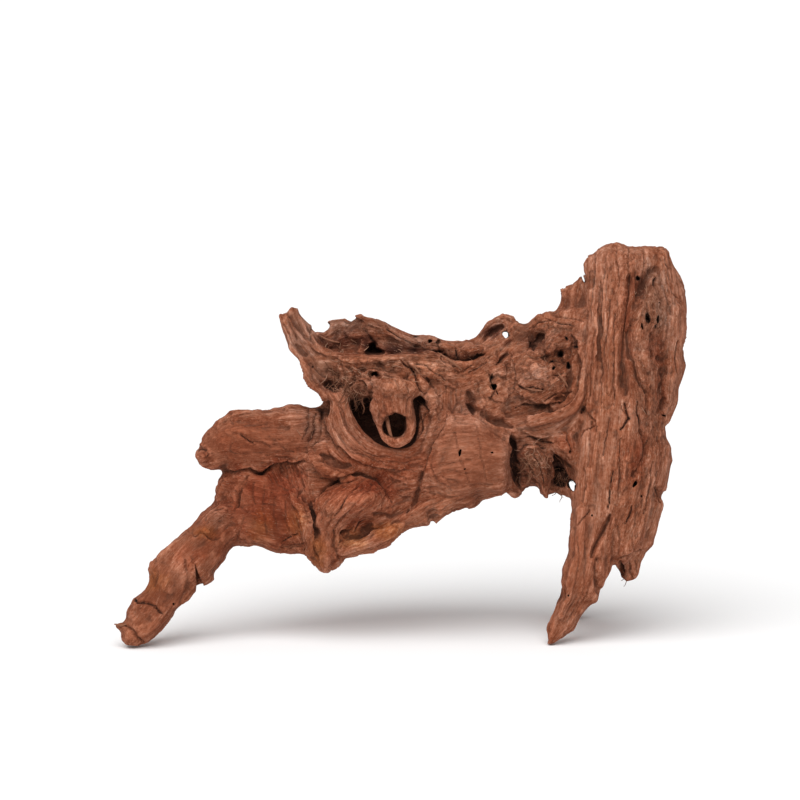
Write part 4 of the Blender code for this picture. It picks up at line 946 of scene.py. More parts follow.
# The grain: lines that the wood's fibres follow, as reach, then places of x, z and depth.
GRAIN_LINES = [
    (17, [(-203, 2, -12), (-195, 10, -7), (-181, 26, 1), (-167, 48, 12), (-145, 68, 23),
          (-124, 86, 30), (-104, 98, 36)]),
    (22, [(-150, 132, 14), (-136, 137, 18), (-110, 143, 26), (-80, 145, 30), (-56, 147, 32)]),
    (26, [(-116, 104, 36), (-96, 101, 36), (-70, 96, 34), (-44, 96, 32), (-14, 106, 33),
          (20, 120, 35)]),
    (12, [(-84, 122, 20), (-76, 105, 16), (-68, 88, 14), (-60, 72, 14), (-55, 56, 14),
          (-54, 48, 14)]),
    (13, [(-20, 120, 2), (-32, 108, 0), (-44, 96, 0), (-52, 84, 2), (-55, 72, 6)]),
    (13, [(-50, 62, 14), (-36, 68, 16), (-18, 74, 15), (0, 84, 15), (20, 96, 16), (44, 104, 16)]),
    (11, [(-62, 186, 20), (-54, 175, 16), (-47, 163, 10), (-43, 151, 8), (-34, 140, 7),
          (-20, 132, 7), (-4, 129, 7), (12, 133, 9), (24, 144, 12), (32, 160, 14), (33, 178, 18)]),
    (13, [(-44, 178, 20), (-52, 192, 26), (-64, 206, 30), (-74, 220, 31), (-80, 236, 30)]),
    (13, [(-5, 190, 26), (-7, 174, 10), (-6, 160, -8), (-4, 146, -20)]),
    (24, [(12, 122, 18), (30, 126, 14), (52, 129, 12), (80, 130, 10)]),
    (15, [(-50, 190, 22), (-28, 190, 16), (-4, 190, 15), (24, 188, 18), (48, 192, 24),
          (66, 203, 30), (80, 214, 34)]),
    (20, [(44, 168, 22), (64, 176, 18), (86, 186, 16), (104, 198, 22), (118, 214, 34),
          (122, 236, 38)]),
    (10, [(130, 226, 20), (126, 198, 16), (122, 178, 14), (110, 163, 14), (90, 155, 16),
          (66, 150, 20)]),
    (8, [(48, 204, 46), (56, 217, 46), (66, 226, 46), (75, 226, 44), (79, 214, 38)]),
    (15, [(140, 288, 26), (142, 260, 24), (142, 230, 21), (141, 196, 20), (137, 160, 20),
          (133, 124, 19), (131, 92, 18), (127, 64, 16), (122, 42, 13), (113, 20, 6), (104, 0, 1)]),
    (15, [(166, 288, 26), (165, 250, 22), (158, 214, 20), (160, 184, 20), (162, 150, 22),
          (156, 110, 22), (146, 80, 22), (140, 50, 20)]),
    (15, [(184, 286, 32), (188, 250, 30), (186, 214, 28), (182, 176, 28), (178, 140, 28),
          (172, 104, 28), (164, 74, 28), (158, 42, 28)]),
    (17, [(148, 146, 50), (143, 112, 64), (137, 84, 76), (132, 62, 86), (124, 44, 92),
          (117, 28, 99), (108, 2, 108)]),
    (34, [(-104, 112, 56), (-55, 122, 66), (0, 140, 72), (50, 152, 74), (100, 172, 70),
          (138, 206, 58), (158, 250, 48), (166, 284, 44)]),
    (15, [(-104, 100, 58), (-62, 128, 80), (-24, 148, 90), (14, 152, 96), (56, 140, 97),
          (92, 146, 92), (130, 172, 78)]),
    (14, [(-36, 178, 76), (10, 184, 86), (44, 190, 84), (74, 204, 76), (112, 216, 62)]),
    (11, [(-66, 204, 46), (-44, 216, 54), (-20, 218, 54), (8, 210, 48), (36, 202, 50),
          (54, 202, 46)]),
    (10, [(84, 150, 22), (90, 134, 18), (96, 118, 18), (101, 98, 18)]),
    (12, [(104, 146, 26), (112, 134, 26), (116, 118, 28), (117, 96, 28)]),
]
GRAIN_STEP = 9.0
GRAIN_APART = 41.0  # keeps the fibres of one line from matching those of the next
GRAIN_BLEND = 0.35  # two lines are mixed where their shares of reach differ by less


def grain_of(points):
    """For every grain line: how far each point is from it as a share of its reach, and the point
    given in the line's own directions, as two lengths across it and one along."""
    off, own = [], []
    for number, (reach, places) in enumerate(GRAIN_LINES):
        line = smooth_line(in_space(places) / MM, GRAIN_STEP)
        way, side, rise = carried_frames(line)
        travelled = np.append(0, np.cumsum(np.linalg.norm(np.diff(line, axis=0), axis=1)))
        best = np.full(len(points), np.inf)
        place = np.zeros((len(points), 3))
        for k in range(len(line) - 1):
            leg = line[k + 1] - line[k]
            length = np.linalg.norm(leg)
            free = (points - line[k]) @ leg / length**2
            share = np.clip(free, 0, 1)
            away = points - line[k] - share[:, None] * leg
            distance = (away**2).sum(1)
            closer = distance < best
            best[closer] = distance[closer]
            mixed = share[closer, None]
            gone = away[closer]
            across = side[k] * (1 - mixed) + side[k + 1] * mixed
            upward = rise[k] * (1 - mixed) + rise[k + 1] * mixed
            place[closer, 0] = (gone * across).sum(1)
            place[closer, 1] = (gone * upward).sum(1)
            beyond = (gone * (way[k] * (1 - mixed) + way[k + 1] * mixed)).sum(1)
            place[closer, 2] = travelled[k] + share[closer] * length + beyond
        place[:, 0] += GRAIN_APART * (number + 1)
        off.append(np.sqrt(best) / reach)
        own.append(place)
    return np.array(off), np.array(own)


def two_nearest(off):
    """The two grain lines nearest to each point, and the first one's share of it."""
    first = off.argmin(0)
    columns = np.arange(off.shape[1])
    least = off[first, columns]
    rest = off.copy()
    rest[first, columns] = np.inf
    second = rest.argmin(0)
    gap = rest[second, columns] - least
    return first, second, 0.5 + 0.5 * np.clip(gap / GRAIN_BLEND, 0, 1)


def streaks(grain, fine, stretch, seed):
    """Noise drawn out along the grain, from about -1 to 1: fine is its width across in
    millimetres, and it is so many times as long. Where two lines meet, both are mixed."""
    first, second, share = grain
    shrink = np.array((1, 1, 1 / stretch)) / fine
    one = lattice_noise(first * shrink, seed)
    two = lattice_noise(second * shrink, seed)
    return (one * share + two * (1 - share)) / np.sqrt(share**2 + (1 - share)**2)


# Relief that the grain wears into the wood all round: width across, stretch and height.
WORN_GRAIN = ((13.0, 5.0, 1.3), (6.5, 6.0, 0.8), (3.2, 7.0, 0.5))
# Lumps that stand on craggy wood: height, width and seed.
LUMPS = ((1.5, 9.0, 37), (0.9, 4.6, 38), (0.45, 2.6, 39))
LAYER_HIGH = 1.3  # a step between two of the wood's layers
KNOT_HIGH = 1.2
CRACK_SINKS = 1.7
FRONT_KEEPS = 0.75  # share of it on the front, where the relief above is read place by place
FOOT_FADE = 3.0  # the relief dies off this close to the ground, so that the feet stay flat


def grain_relief(points, grain, front, craggy, polished):
    """The height that the grain gives each point: streaks of three widths, whose sharp side is
    down, and long cracks where wide streaks change sign. It also gives each point's share of
    painted shade in those cracks."""
    height = np.zeros(len(points))
    for number, (fine, stretch, high) in enumerate(WORN_GRAIN):
        wave = streaks(grain, fine, stretch, seed=11 + number)
        height += high * (0.6 * wave + 0.8 * (np.abs(wave) ** 0.7 - 0.45))
    long_wave = streaks(grain, fine=9.0, stretch=9.0, seed=31)
    torn = lattice_noise(points / 34.0, seed=32)
    crack = np.clip(1 - np.abs(long_wave) / 0.05, 0, 1) * np.clip(torn * 2.4, 0, 1)
    crack *= 1 - 0.55 * front
    layers = (2.2 * streaks(grain, fine=11.0, stretch=5.0, seed=34)
              + 0.5 * streaks(grain, fine=4.0, stretch=6.0, seed=35))
    layer_shown = np.clip(0.5 + 1.6 * lattice_noise(points / 28.0, seed=36), 0, 1)
    height += LAYER_HIGH * (layers - np.floor(layers) - 0.5) * layer_shown
    lumps = sum(size * (1 - 2 * np.abs(lattice_noise(points / wide, seed)))
                for size, wide, seed in LUMPS)
    height = height * (1 - 0.78 * polished) + craggy * (lumps - 0.9)
    height += KNOT_HIGH * lattice_noise(points / 16.0, seed=33) * (1 - 0.6 * front)
    height *= 1 - (1 - FRONT_KEEPS) * front
    return height - CRACK_SINKS * crack, crack


points = vertex_array(form, "co") / MM
off, own = grain_of(points)
first, second, share = two_nearest(off)
columns = np.arange(len(points))
grain = (own[first, columns], own[second, columns], share)
normals = vertex_array(form, "normal")
toward_viewer = np.array((0, -math.cos(SIGHT_TILT), math.sin(SIGHT_TILT)))
front = evened(front_share(seen(points * MM), normals @ toward_viewer), links, times=3)
where = seen(points * MM)[:, :2]
for across, wander in WOBBLE:
    where[:, 0] += wander * lattice_noise(points / across, seed=41)
    where[:, 1] += wander * lattice_noise(points / across, seed=42)
front_height, front_crack = carved(where, front)
craggy = ovals_share(where, CRAGGY) * front
polished = ovals_share(where, SMOOTH_WORN) * front
grain_height, grain_crack = grain_relief(points, grain, front, craggy, polished)
# The share of painted shade in cracks and along the foot of steps.
crack = np.maximum(front_crack, grain_crack * 0.9)
height = front_height + grain_height
off_ground = np.clip(points[:, 2] / FOOT_FADE, 0, 1)
points += normals * (height * off_ground)[:, None]
points[:, 2] = np.maximum(points[:, 2], 0)
set_places(form, points * MM)

# Wood borers' holes and rotted pits: x, z, width, height, depth and lean in degrees.
HOLES = [
    (39.5, 135, 2.2, 5.0, 9, -18), (43, 123.5, 1.5, 1.5, 6, 0), (62, 135, 1.8, 1.6, 5, 0),
    (63, 181, 4.6, 5.2, 10, 20), (61.5, 188, 1.2, 6, 5, -12), (65.5, 177, 1.1, 4, 5, 20),
    (110, 204, 4.2, 3.8, 9, 0), (105, 194, 3.0, 2.2, 7, 30), (115.5, 196, 2.6, 4.6, 9, 0),
    (120.5, 209, 3.4, 1.8, 7, 0), (171, 229, 2.8, 7.0, 10, 8), (178, 228, 1.6, 5.0, 8, -10),
    (177, 223.5, 2.6, 2.2, 7, 0), (167, 223.5, 1.8, 4.4, 8, 12), (179, 240, 1.6, 1.2, 5, 0),
    (162, 113, 2.6, 5.4, 9, -20), (166.5, 104.5, 1.7, 1.7, 6, 0), (115.5, 35, 1.6, 1.6, 5, 0),
    (18.5, 213, 3.0, 3.4, 7, 0), (24.5, 213, 1.8, 4.6, 6, -25), (8, 217, 2.6, 3.0, 6, 0),
    (182, 161, 3.2, 1.6, 7, -20), (164, 257, 2.4, 3.4, 7, 0), (132, 91, 1.4, 2.2, 4, 0),
    (-187, 31.5, 1.8, 1.6, 5, 0), (-161, 29, 1.8, 1.8, 5, 0), (71.5, 217.5, 4.4, 4.2, 80, 0),
    (118, 112, 3.4, 8.0, 80, 22), (125.8, 256.8, 1.1, 5.6, 60, 20), (114, 215, 1.6, 3.0, 6, 20),
    (-63.5, 195, 1.4, 1.8, 4, 0), (104, 198.5, 2.4, 1.2, 5, 20), (116.5, 135.5, 1.6, 2.4, 6, 0),
]
# Open splits, as in CLEFTS.
SPLITS = [
    (-30, 20, [(-147, 62), (-144, 53), (-138.5, 42), (-136, 33), (-146.5, 31), (-146, 46)]),
]
HOLE_SIDES = 12
BARS_ABOVE = 8.0  # how far a cutter stands out of the wood
MOUTH_REACH = 2.0  # a hole starts at the least depth this near to its middle
NO_MOUTH = 20.0  # where it starts if there is no wood


def cone_cutter(x, z, wide, high, deep, lean, start):
    """A round bar that narrows to the inside, along the line of sight: uneven rings round an
    ellipse at three depths, closed by a point at each end."""
    angle = np.arange(HOLE_SIDES) * 2 * math.pi / HOLE_SIDES
    turn = math.radians(lean)
    rings = []
    mouth, waist, floor = start - BARS_ABOVE, start + 0.3 * deep, start + deep
    for depth, size in ((mouth, 1.1), (waist, 0.95), (floor, 0.45)):
        uneven = size * (1 + 0.16 * np.cos(2 * angle + x) + 0.12 * np.cos(3 * angle + z))
        a = np.cos(angle) * wide / 2 * uneven
        b = np.sin(angle) * high / 2 * uneven
        rings.append(np.stack((x + a * math.cos(turn) - b * math.sin(turn),
                               z + a * math.sin(turn) + b * math.cos(turn),
                               np.full(HOLE_SIDES, depth)), 1))
    ends = np.array(((x, z, mouth - 0.5), (x, z, floor + 0.5)))
    walls, caps = tube_faces(len(rings), HOLE_SIDES)
    return in_space(np.concatenate(rings + [ends])), walls.tolist() + caps.tolist()


def drilled(mesh, places):
    """The mesh with the holes cut out, each from the depth at which its place is met."""
    bodies = []
    for x, z, wide, high, deep, lean in HOLES:
        close = np.hypot(places[:, 0] - x, places[:, 1] - z) < MOUTH_REACH
        start = places[close, 2].min() if close.any() else NO_MOUTH
        bodies.append(cone_cutter(x, z, wide, high, deep, lean, start))
    splits = [cleft(*sizes) for sizes in SPLITS]
    cutter = new_object("bars", mesh_of("bars", bodies + splits, most_corners=HOLE_SIDES))
    made = with_modifiers(mesh, without(cutter))
    bpy.data.objects.remove(cutter)
    return made


def put_attribute(mesh, name, values, kind="FLOAT", domain="POINT"):
    """Writes values, one row for each vertex or corner, to the mesh under a name."""
    made = mesh.attributes.new(name, kind, domain)
    field = {"FLOAT": "value", "FLOAT_VECTOR": "vector", "FLOAT_COLOR": "color"}[kind]
    made.data.foreach_set(field, np.ascontiguousarray(values, np.float32).ravel())


# crack holds the share of painted shade in cracks and at steps.
for name, values in (("crack", crack), ("polished", polished), ("craggy", craggy)):
    put_attribute(form, name, values)
form = drilled(form, seen(points * MM))

wood_mesh = with_modifiers(form, ("DECIMATE", {
    "ratio": MOST_TRIANGLES / sum(len(p.vertices) - 2 for p in form.polygons),
    "use_collapse_triangulate": True}))
wood_mesh.name = "root_wood"


def without_strays(mesh):
    """A mesh of triangles without its stray ones, which have an edge that no other shares."""
    edges = np.empty(len(mesh.loops), np.int32)
    mesh.loops.foreach_get("edge_index", edges)
    alone = (np.bincount(edges)[edges].reshape(-1, 3) == 1).any(1)
    form = bmesh.new()
    form.from_mesh(mesh)
    form.faces.ensure_lookup_table()
    bmesh.ops.delete(form, geom=[form.faces[k] for k in np.flatnonzero(alone)], context="FACES")
    form.to_mesh(mesh)
    form.free()


without_strays(wood_mesh)
wood_mesh.shade_smooth()


SKY_WAYS = 56
SKY_SQUARE = 2.0
SKY_SLACK = 3.0  # a point this far under the highest one in its square still sees the sky
SKY_FADE = 4.0


def openness(points, normals):
    """How much of the sky each point sees, from 0 to 1: from many ways spread evenly over the
    sphere, a point counts as seen if it is the highest in its square, and each way weighs as
    much as the point's normal leans to it."""
    number = np.arange(SKY_WAYS) + 0.5
    rise = 1 - 2 * number / SKY_WAYS
    turn = number * math.pi * (3 - math.sqrt(5))
    spread = np.sqrt(1 - rise**2)
    looks = np.stack((spread * np.cos(turn), spread * np.sin(turn), rise), 1)
    total = np.zeros(len(points))
    weight = np.full(len(points), 1e-6)  # keeps the share finite
    for look in looks:
        side = np.cross(look, (0.31, 0.52, 0.79))
        side /= np.linalg.norm(side)
        other = np.cross(look, side)
        at = np.floor(np.stack((points @ side, points @ other), 1) / SKY_SQUARE).astype(int)
        at -= at.min(0)
        high = points @ look
        top = np.full(at.max(0) + 1, -np.inf)
        np.maximum.at(top, (at[:, 0], at[:, 1]), high)
        lean = np.clip(normals @ look, 0, None)
        under = top[at[:, 0], at[:, 1]] - high - SKY_SLACK
        total += lean * np.clip(1 - under / SKY_FADE, 0, 1)
        weight += lean
    return total / weight


# What each stain does to the wood's red, green and blue.
TINTS = {
    "ochre": (1.18, 1.14, 0.80),
    "grey": (0.92, 1.16, 1.36),
    # a pinkish grey: the wood's own colour in places, and a painted sheen on the stump's top
    "pink_and_sheen": (1.14, 1.28, 1.42),
    "red": (1.02, 0.82, 0.72),
    # painted shade, for hollows, pits, gaps and clefts
    "dark": (0.50, 0.44, 0.42),
    "pale": (1.26, 1.30, 1.30),
    "brown": (0.86, 0.80, 0.76),
    # a darker red-brown: the wood's own colour on the body, and painted shade in the slab's grooves
    "umber_and_shade": (0.64, 0.45, 0.37),
    # deep painted shade, for the cup, pits and the shade under ledges
    "deep_shade": (0.34, 0.25, 0.23),
}
# Stains: tint, strength, then ovals of x, z, half width and half height. Some rows are
# painted shade or a painted sheen, as noted above them.
STAINS = [
    ("umber_and_shade", 0.9, [(-98, 98, 30, 22), (-84, 118, 16, 10), (-34, 88, 12, 6), (-20, 112, 16, 8)]),
    ("brown", 0.7, [(-112, 146, 34, 18), (-96, 96, 26, 22)]),
    ("brown", 1.0, [(-170, 34, 26, 30), (-140, 76, 22, 20), (-112, 146, 34, 18), (-186, 10, 14, 12),
                    (46, 130, 26, 24), (122, 60, 10, 40), (150, 84, 20, 30)]),
    # painted shade in the cup, a cleft and under the knots along the top
    ("deep_shade", 0.95, [(-42, 213, 16, 8), (-28, 213, 12, 6), (-6, 209, 14, 4), (61, 219, 7, 4.5)]),
    ("deep_shade", 0.9, [(8, 206.5, 10, 2.0), (26, 205, 6, 1.8), (34, 203, 6, 1.6), (46, 202, 9, 1.5)]),
    ("pale", 1.0, [(-16, 198.5, 24, 5), (14, 193, 22, 9), (44, 190, 14, 8)]),
    ("pale", 0.7, [(-10, 199, 26, 4), (16, 196, 18, 6), (-82, 228, 5, 8), (-54, 200, 10, 5)]),
    ("pale", 0.75, [(2, 181, 12, 7), (60, 178, 14, 20), (90, 190, 26, 20), (29, 102, 10, 12)]),
    ("pale", 0.5, [(156, 258, 30, 26), (168, 226, 14, 22), (140, 130, 20, 60), (160, 90, 14, 30)]),
    ("red", 0.55, [(-100, 110, 60, 50), (-40, 105, 50, 45), (-20, 140, 34, 14), (4, 110, 20, 24)]),
    # painted shade in the slab's grooves
    ("umber_and_shade", 0.6, [(156, 226, 4, 32), (164, 250, 6, 14), (177, 208, 5, 12), (168, 138, 4, 14),
                    (180, 176, 4, 16)]),
    # painted shade in two clefts along the top
    ("dark", 0.8, [(64, 219, 8, 5), (90, 213, 9, 6)]),
    # painted shade in the cup, pits and hollows round the stub
    ("deep_shade", 0.9, [(-22, 208, 6, 6), (-58, 214, 3.5, 6), (-6, 206.5, 14, 3), (-51, 182, 7, 4.5),
                   (-33, 178, 4, 5), (-20, 189.5, 4, 2.6)]),
    ("ochre", 0.9, [(-141, 79, 9, 5), (-75, 88, 7, 9), (-100, 84, 8, 10), (-36, 74, 12, 7),
                    (-12, 80, 12, 6), (-174, 45, 8, 8), (-60, 66, 6, 10)]),
    ("grey", 1.0, [(-58, 193, 9, 8)]),
    ("grey", 0.8, [(-72, 220, 13, 15), (-45, 224, 12, 7), (-20, 225, 16, 7), (-130, 88, 9, 6),
                   (-62, 152, 9, 12), (176, 240, 12, 26), (0, 212, 20, 6)]),
    # the first two ovals, on the stump's top, are a painted sheen; the rest are the wood's own
    # pinkish grey
    ("pink_and_sheen", 0.8, [(62, 157, 18, 6), (50, 163, 10, 4), (150, 270, 24, 10), (162, 213, 7, 9),
                   (72, 128, 5, 22), (94, 188, 12, 8)]),
    ("red", 0.7, [(-30, 106, 26, 12), (-5, 126, 26, 10), (-90, 112, 20, 12), (112, 142, 9, 8),
                  (176, 210, 6, 12), (160, 130, 10, 18), (-150, 62, 14, 10)]),
    # painted shade in hollows, pits, gaps and clefts
    ("dark", 0.75, [(-27, 157, 11, 18), (10, 164, 5, 10), (-48, 183, 10, 7), (80, 128, 6, 20),
                    (110, 122, 10, 14), (92, 214, 8, 6), (166, 254, 9, 9), (154, 53, 3, 8),
                    (-65, 150, 6, 12), (46, 172, 7, 7), (198, 240, 3, 9)]),
    ("pale", 0.6, [(40, 210, 30, 5), (70, 214, 14, 10), (-110, 150, 22, 8), (140, 200, 6, 40),
                   (122, 60, 6, 30), (30, 176, 14, 6), (104, 228, 14, 5), (-186, 12, 10, 8)]),
]


CLOUDS = 0.10  # how strongly wide clouds turn the wood greyer or redder all round


def stains(points, where):
    """The tint of each point: soft ovals whose edges are broken up by noise, each turning what is
    there towards its colour."""
    tint = np.ones((len(points), 3))
    broken = (0.45 * lattice_noise(points / 9.0, seed=51)
              + 0.3 * lattice_noise(points / 3.5, seed=52))
    for name, strength, ovals in STAINS:
        most = np.zeros(len(points))
        for oval in ovals:
            most = np.maximum(most, np.clip((1.35 - oval_off(where, oval) + broken) / 0.9, 0, 1))
        tint *= 1 + (np.array(TINTS[name]) - 1) * (strength * most)[:, None]
    clouds = lattice_noise(points / 30.0, seed=53)
    return tint * (1 + CLOUDS * clouds[:, None] * np.array((0.6, 1.0, 1.4)))


def in_holes(places):
    """1 for points on a drilled hole's wall, and 0 elsewhere."""
    deep_in = np.zeros(len(places))
    for x, z, wide, high, deep, lean in HOLES:
        near = np.hypot(places[:, 0] - x, places[:, 1] - z) < max(wide, high) / 2 + 1
        if not near.any():
            continue
        start = places[near, 2].min()
        turn = math.radians(lean)
        a = (places[:, 0] - x) * math.cos(turn) + (places[:, 1] - z) * math.sin(turn)
        b = (places[:, 1] - z) * math.cos(turn) - (places[:, 0] - x) * math.sin(turn)
        off = np.hypot(a / (wide / 2 + 0.3), b / (high / 2 + 0.3))
        depth = places[:, 2] - start
        found = (off < 1.05) & (depth > 0.8) & (depth < deep + 2)
        deep_in[found] = np.maximum(deep_in[found], np.clip((depth[found] - 0.8) / 2, 0, 1))
    return deep_in


points = vertex_array(wood_mesh, "co") / MM
normals = vertex_array(wood_mesh, "normal")
places = seen(points * MM)
links = neighbours(wood_mesh)
# An edge stands out from its surroundings by up to the first height, and a hollow lies under its
# wider surroundings by up to the second.
EDGE_HIGH = 0.35
HOLLOW_DEEP = 2.2
fine_bend = ((points - evened(points, links, times=5)) * normals).sum(1)
wide_bend = ((points - evened(points, links, times=45)) * normals).sum(1)
# The share of sky each point sees is used by the wood's material for painted shade: the colour goes
# nearly black where little sky is seen.
put_attribute(wood_mesh, "open", evened(openness(points, normals), links, times=3))
# The edge's bend: above zero on ridges, which the material makes paler, and below zero in grooves,
# which it darkens as painted shade.
put_attribute(wood_mesh, "edge_bend", np.clip(fine_bend / EDGE_HIGH, -1, 1))
# How far a point lies under its wider surroundings; the material darkens these hollows as painted
# shade.
put_attribute(wood_mesh, "sunk", np.clip(-wide_bend / HOLLOW_DEEP, -1, 1))
# Which points lie on a drilled hole's wall; the material paints them black as shade.
put_attribute(wood_mesh, "hole", in_holes(places))
stain = np.column_stack((stains(points, places[:, :2]), np.ones(len(points))))
put_attribute(wood_mesh, "stain", stain, "FLOAT_COLOR")

corners = np.empty(len(wood_mesh.loops), np.int32)
wood_mesh.loops.foreach_get("vertex_index", corners)
faces = corners.reshape(-1, 3)
off, own = grain_of(points)
first, second, _ = two_nearest(off[:, faces].mean(2))
first, second = np.repeat(first, 3), np.repeat(second, 3)
put_attribute(wood_mesh, "grain_a", own[first, corners], "FLOAT_VECTOR", "CORNER")
put_attribute(wood_mesh, "grain_b", own[second, corners], "FLOAT_VECTOR", "CORNER")
gap = (off[second, corners] - off[first, corners]) / GRAIN_BLEND
put_attribute(wood_mesh, "grain_share", 0.5 + 0.5 * np.clip(gap, -1, 1), "FLOAT", "CORNER")


class Nodes:
    """Adds nodes to a tree and links them: each call gives back the new node's output."""

    def __init__(self, tree):
        self.tree = tree

    def put(self, socket, value):
        if isinstance(value, bpy.types.NodeSocket):
            self.tree.links.new(value, socket)
        elif value is not None:
            socket.default_value = value

    def add(self, kind, inputs=(), output=0, **settings):
        node = self.tree.nodes.new(kind)
        for name, value in settings.items():
            setattr(node, name, value)
        for place, value in dict(inputs).items():
            self.put(node.inputs[place], value)
        return node.outputs[output]

    def attribute(self, name, output="Fac"):
        return self.add("ShaderNodeAttribute", attribute_name=name, output=output)

    def maths(self, operation, one, two=None, three=None):
        return self.add("ShaderNodeMath", {0: one, 1: two, 2: three}, operation=operation)

    def times(self, one, two):
        return self.maths("MULTIPLY", one, two)

    def swing(self, value, size):
        """How far a value from 0 to 1 is off its middle, times a size."""
        return self.times(self.maths("SUBTRACT", value, 0.5), size)

    def weighed(self, first, *others):
        """The sum of values, each times its weight."""
        total = self.times(*first)
        for value, weight in others:
            total = self.maths("ADD", total, self.times(value, weight))
        return total

    def noise(self, place, scale, detail, rough=0.5):
        return self.add("ShaderNodeTexNoise", {
            "Vector": place, "Scale": scale, "Detail": detail, "Roughness": rough})

    def spread(self, value, low, high, to_low=0.0, to_high=1.0):
        return self.add("ShaderNodeMapRange", {
            "Value": value, "From Min": low, "From Max": high, "To Min": to_low, "To Max": to_high},
            interpolation_type="SMOOTHSTEP")

    def mix(self, share, one, two, blend="MIX"):
        return self.add("ShaderNodeMix", {0: share, 6: one, 7: two}, output=2,
                        data_type="RGBA", blend_type=blend)

    def laid_on(self, colour, *layers):
        """A colour under layers, each its share and its colour."""
        for share, (red, green, blue) in layers:
            colour = self.mix(share, colour, (red, green, blue, 1))
        return colour

    def ramp(self, value, stops):
        node = self.tree.nodes.new("ShaderNodeValToRGB")
        band = node.color_ramp
        while len(band.elements) < len(stops):
            band.elements.new(0.5)
        for element, (place, colour) in zip(band.elements, stops):
            element.position = place
            element.color = (*colour, 1)
        self.put(node.inputs[0], value)
        return node.outputs[0]


def new_material(name, shine):
    """A material, its node maker and its shader, with a weak shine."""
    material = bpy.data.materials.new(name)
    material.use_nodes = True
    shader = material.node_tree.nodes["Principled BSDF"]
    shader.inputs["Specular IOR Level"].default_value = shine
    return material, Nodes(material.node_tree), shader


def fibre_group():
    """Noise that is drawn out along the wood's grain: the same noise is read at both grain
    places and mixed by their share, with its contrast kept up where both count."""
    tree = bpy.data.node_groups.new("fibre_streaks", "ShaderNodeTree")
    for name, value in (("Across", 2.0), ("Stretch", 8.0), ("Detail", 2.0), ("Shift", 0.0)):
        socket = tree.interface.new_socket(name, in_out="INPUT", socket_type="NodeSocketFloat")
        socket.default_value = value
    tree.interface.new_socket("Value", in_out="OUTPUT", socket_type="NodeSocketFloat")
    given = tree.nodes.new("NodeGroupInput").outputs
    put_out = tree.nodes.new("NodeGroupOutput")
    make = Nodes(tree)
    across = make.maths("DIVIDE", 1.0, given["Across"])
    along = make.maths("DIVIDE", across, given["Stretch"])
    scale = make.add("ShaderNodeCombineXYZ", {0: across, 1: across, 2: along})
    shift = make.add("ShaderNodeCombineXYZ", {axis: given["Shift"] for axis in range(3)})
    share = make.attribute("grain_share")
    waves = []
    for name in ("grain_a", "grain_b"):
        place = make.add("ShaderNodeVectorMath", {
            0: make.attribute(name, "Vector"), 1: scale, 2: shift}, operation="MULTIPLY_ADD")
        waves.append(make.noise(place, 1.0, given["Detail"], 0.6))
    rest = make.maths("SUBTRACT", 1.0, share)
    both = make.weighed((waves[0], share), (waves[1], rest))
    size = make.maths("SQRT", make.weighed((share, share), (rest, rest)))
    level = make.maths("DIVIDE", make.maths("SUBTRACT", both, 0.5), size)
    make.put(put_out.inputs["Value"], make.maths("ADD", level, 0.5))
    return tree


FIBRES = fibre_group()


def fibre(make, across, stretch, detail=2.0, shift=0.0):
    """The fibre noise at one width, in a material."""
    node = make.tree.nodes.new("ShaderNodeGroup")
    node.node_tree = FIBRES
    for number, value in enumerate((across, stretch, detail, shift)):
        node.inputs[number].default_value = value
    return node.outputs["Value"]


# the dark of slits along the grain, which is the wood's own, and of painted shade in the creases
# between flakes
SLIT_DARK_AND_CREASE_SHADE = (0.052, 0.016, 0.008)
FLECK_PALE = (0.43, 0.235, 0.155)
# dark brown painted shade in narrow grooves
GROOVE_SHADE = (0.045, 0.017, 0.010)
# dark brown painted shade in wide hollows
HOLLOW_SHADE = (0.060, 0.022, 0.013)
# near-black painted shade, in places that see little sky and in cracks
SHADE_NEAR_BLACK = (0.027, 0.011, 0.0075)
# black painted shade inside drilled holes
HOLE_SHADE = (0.012, 0.006, 0.004)
WOOD_TONES = [
    (0.0, (0.098, 0.022, 0.009)), (0.28, (0.172, 0.048, 0.021)), (0.55, (0.242, 0.080, 0.040)),
    (0.80, (0.318, 0.127, 0.073)), (1.0, (0.410, 0.200, 0.132))]


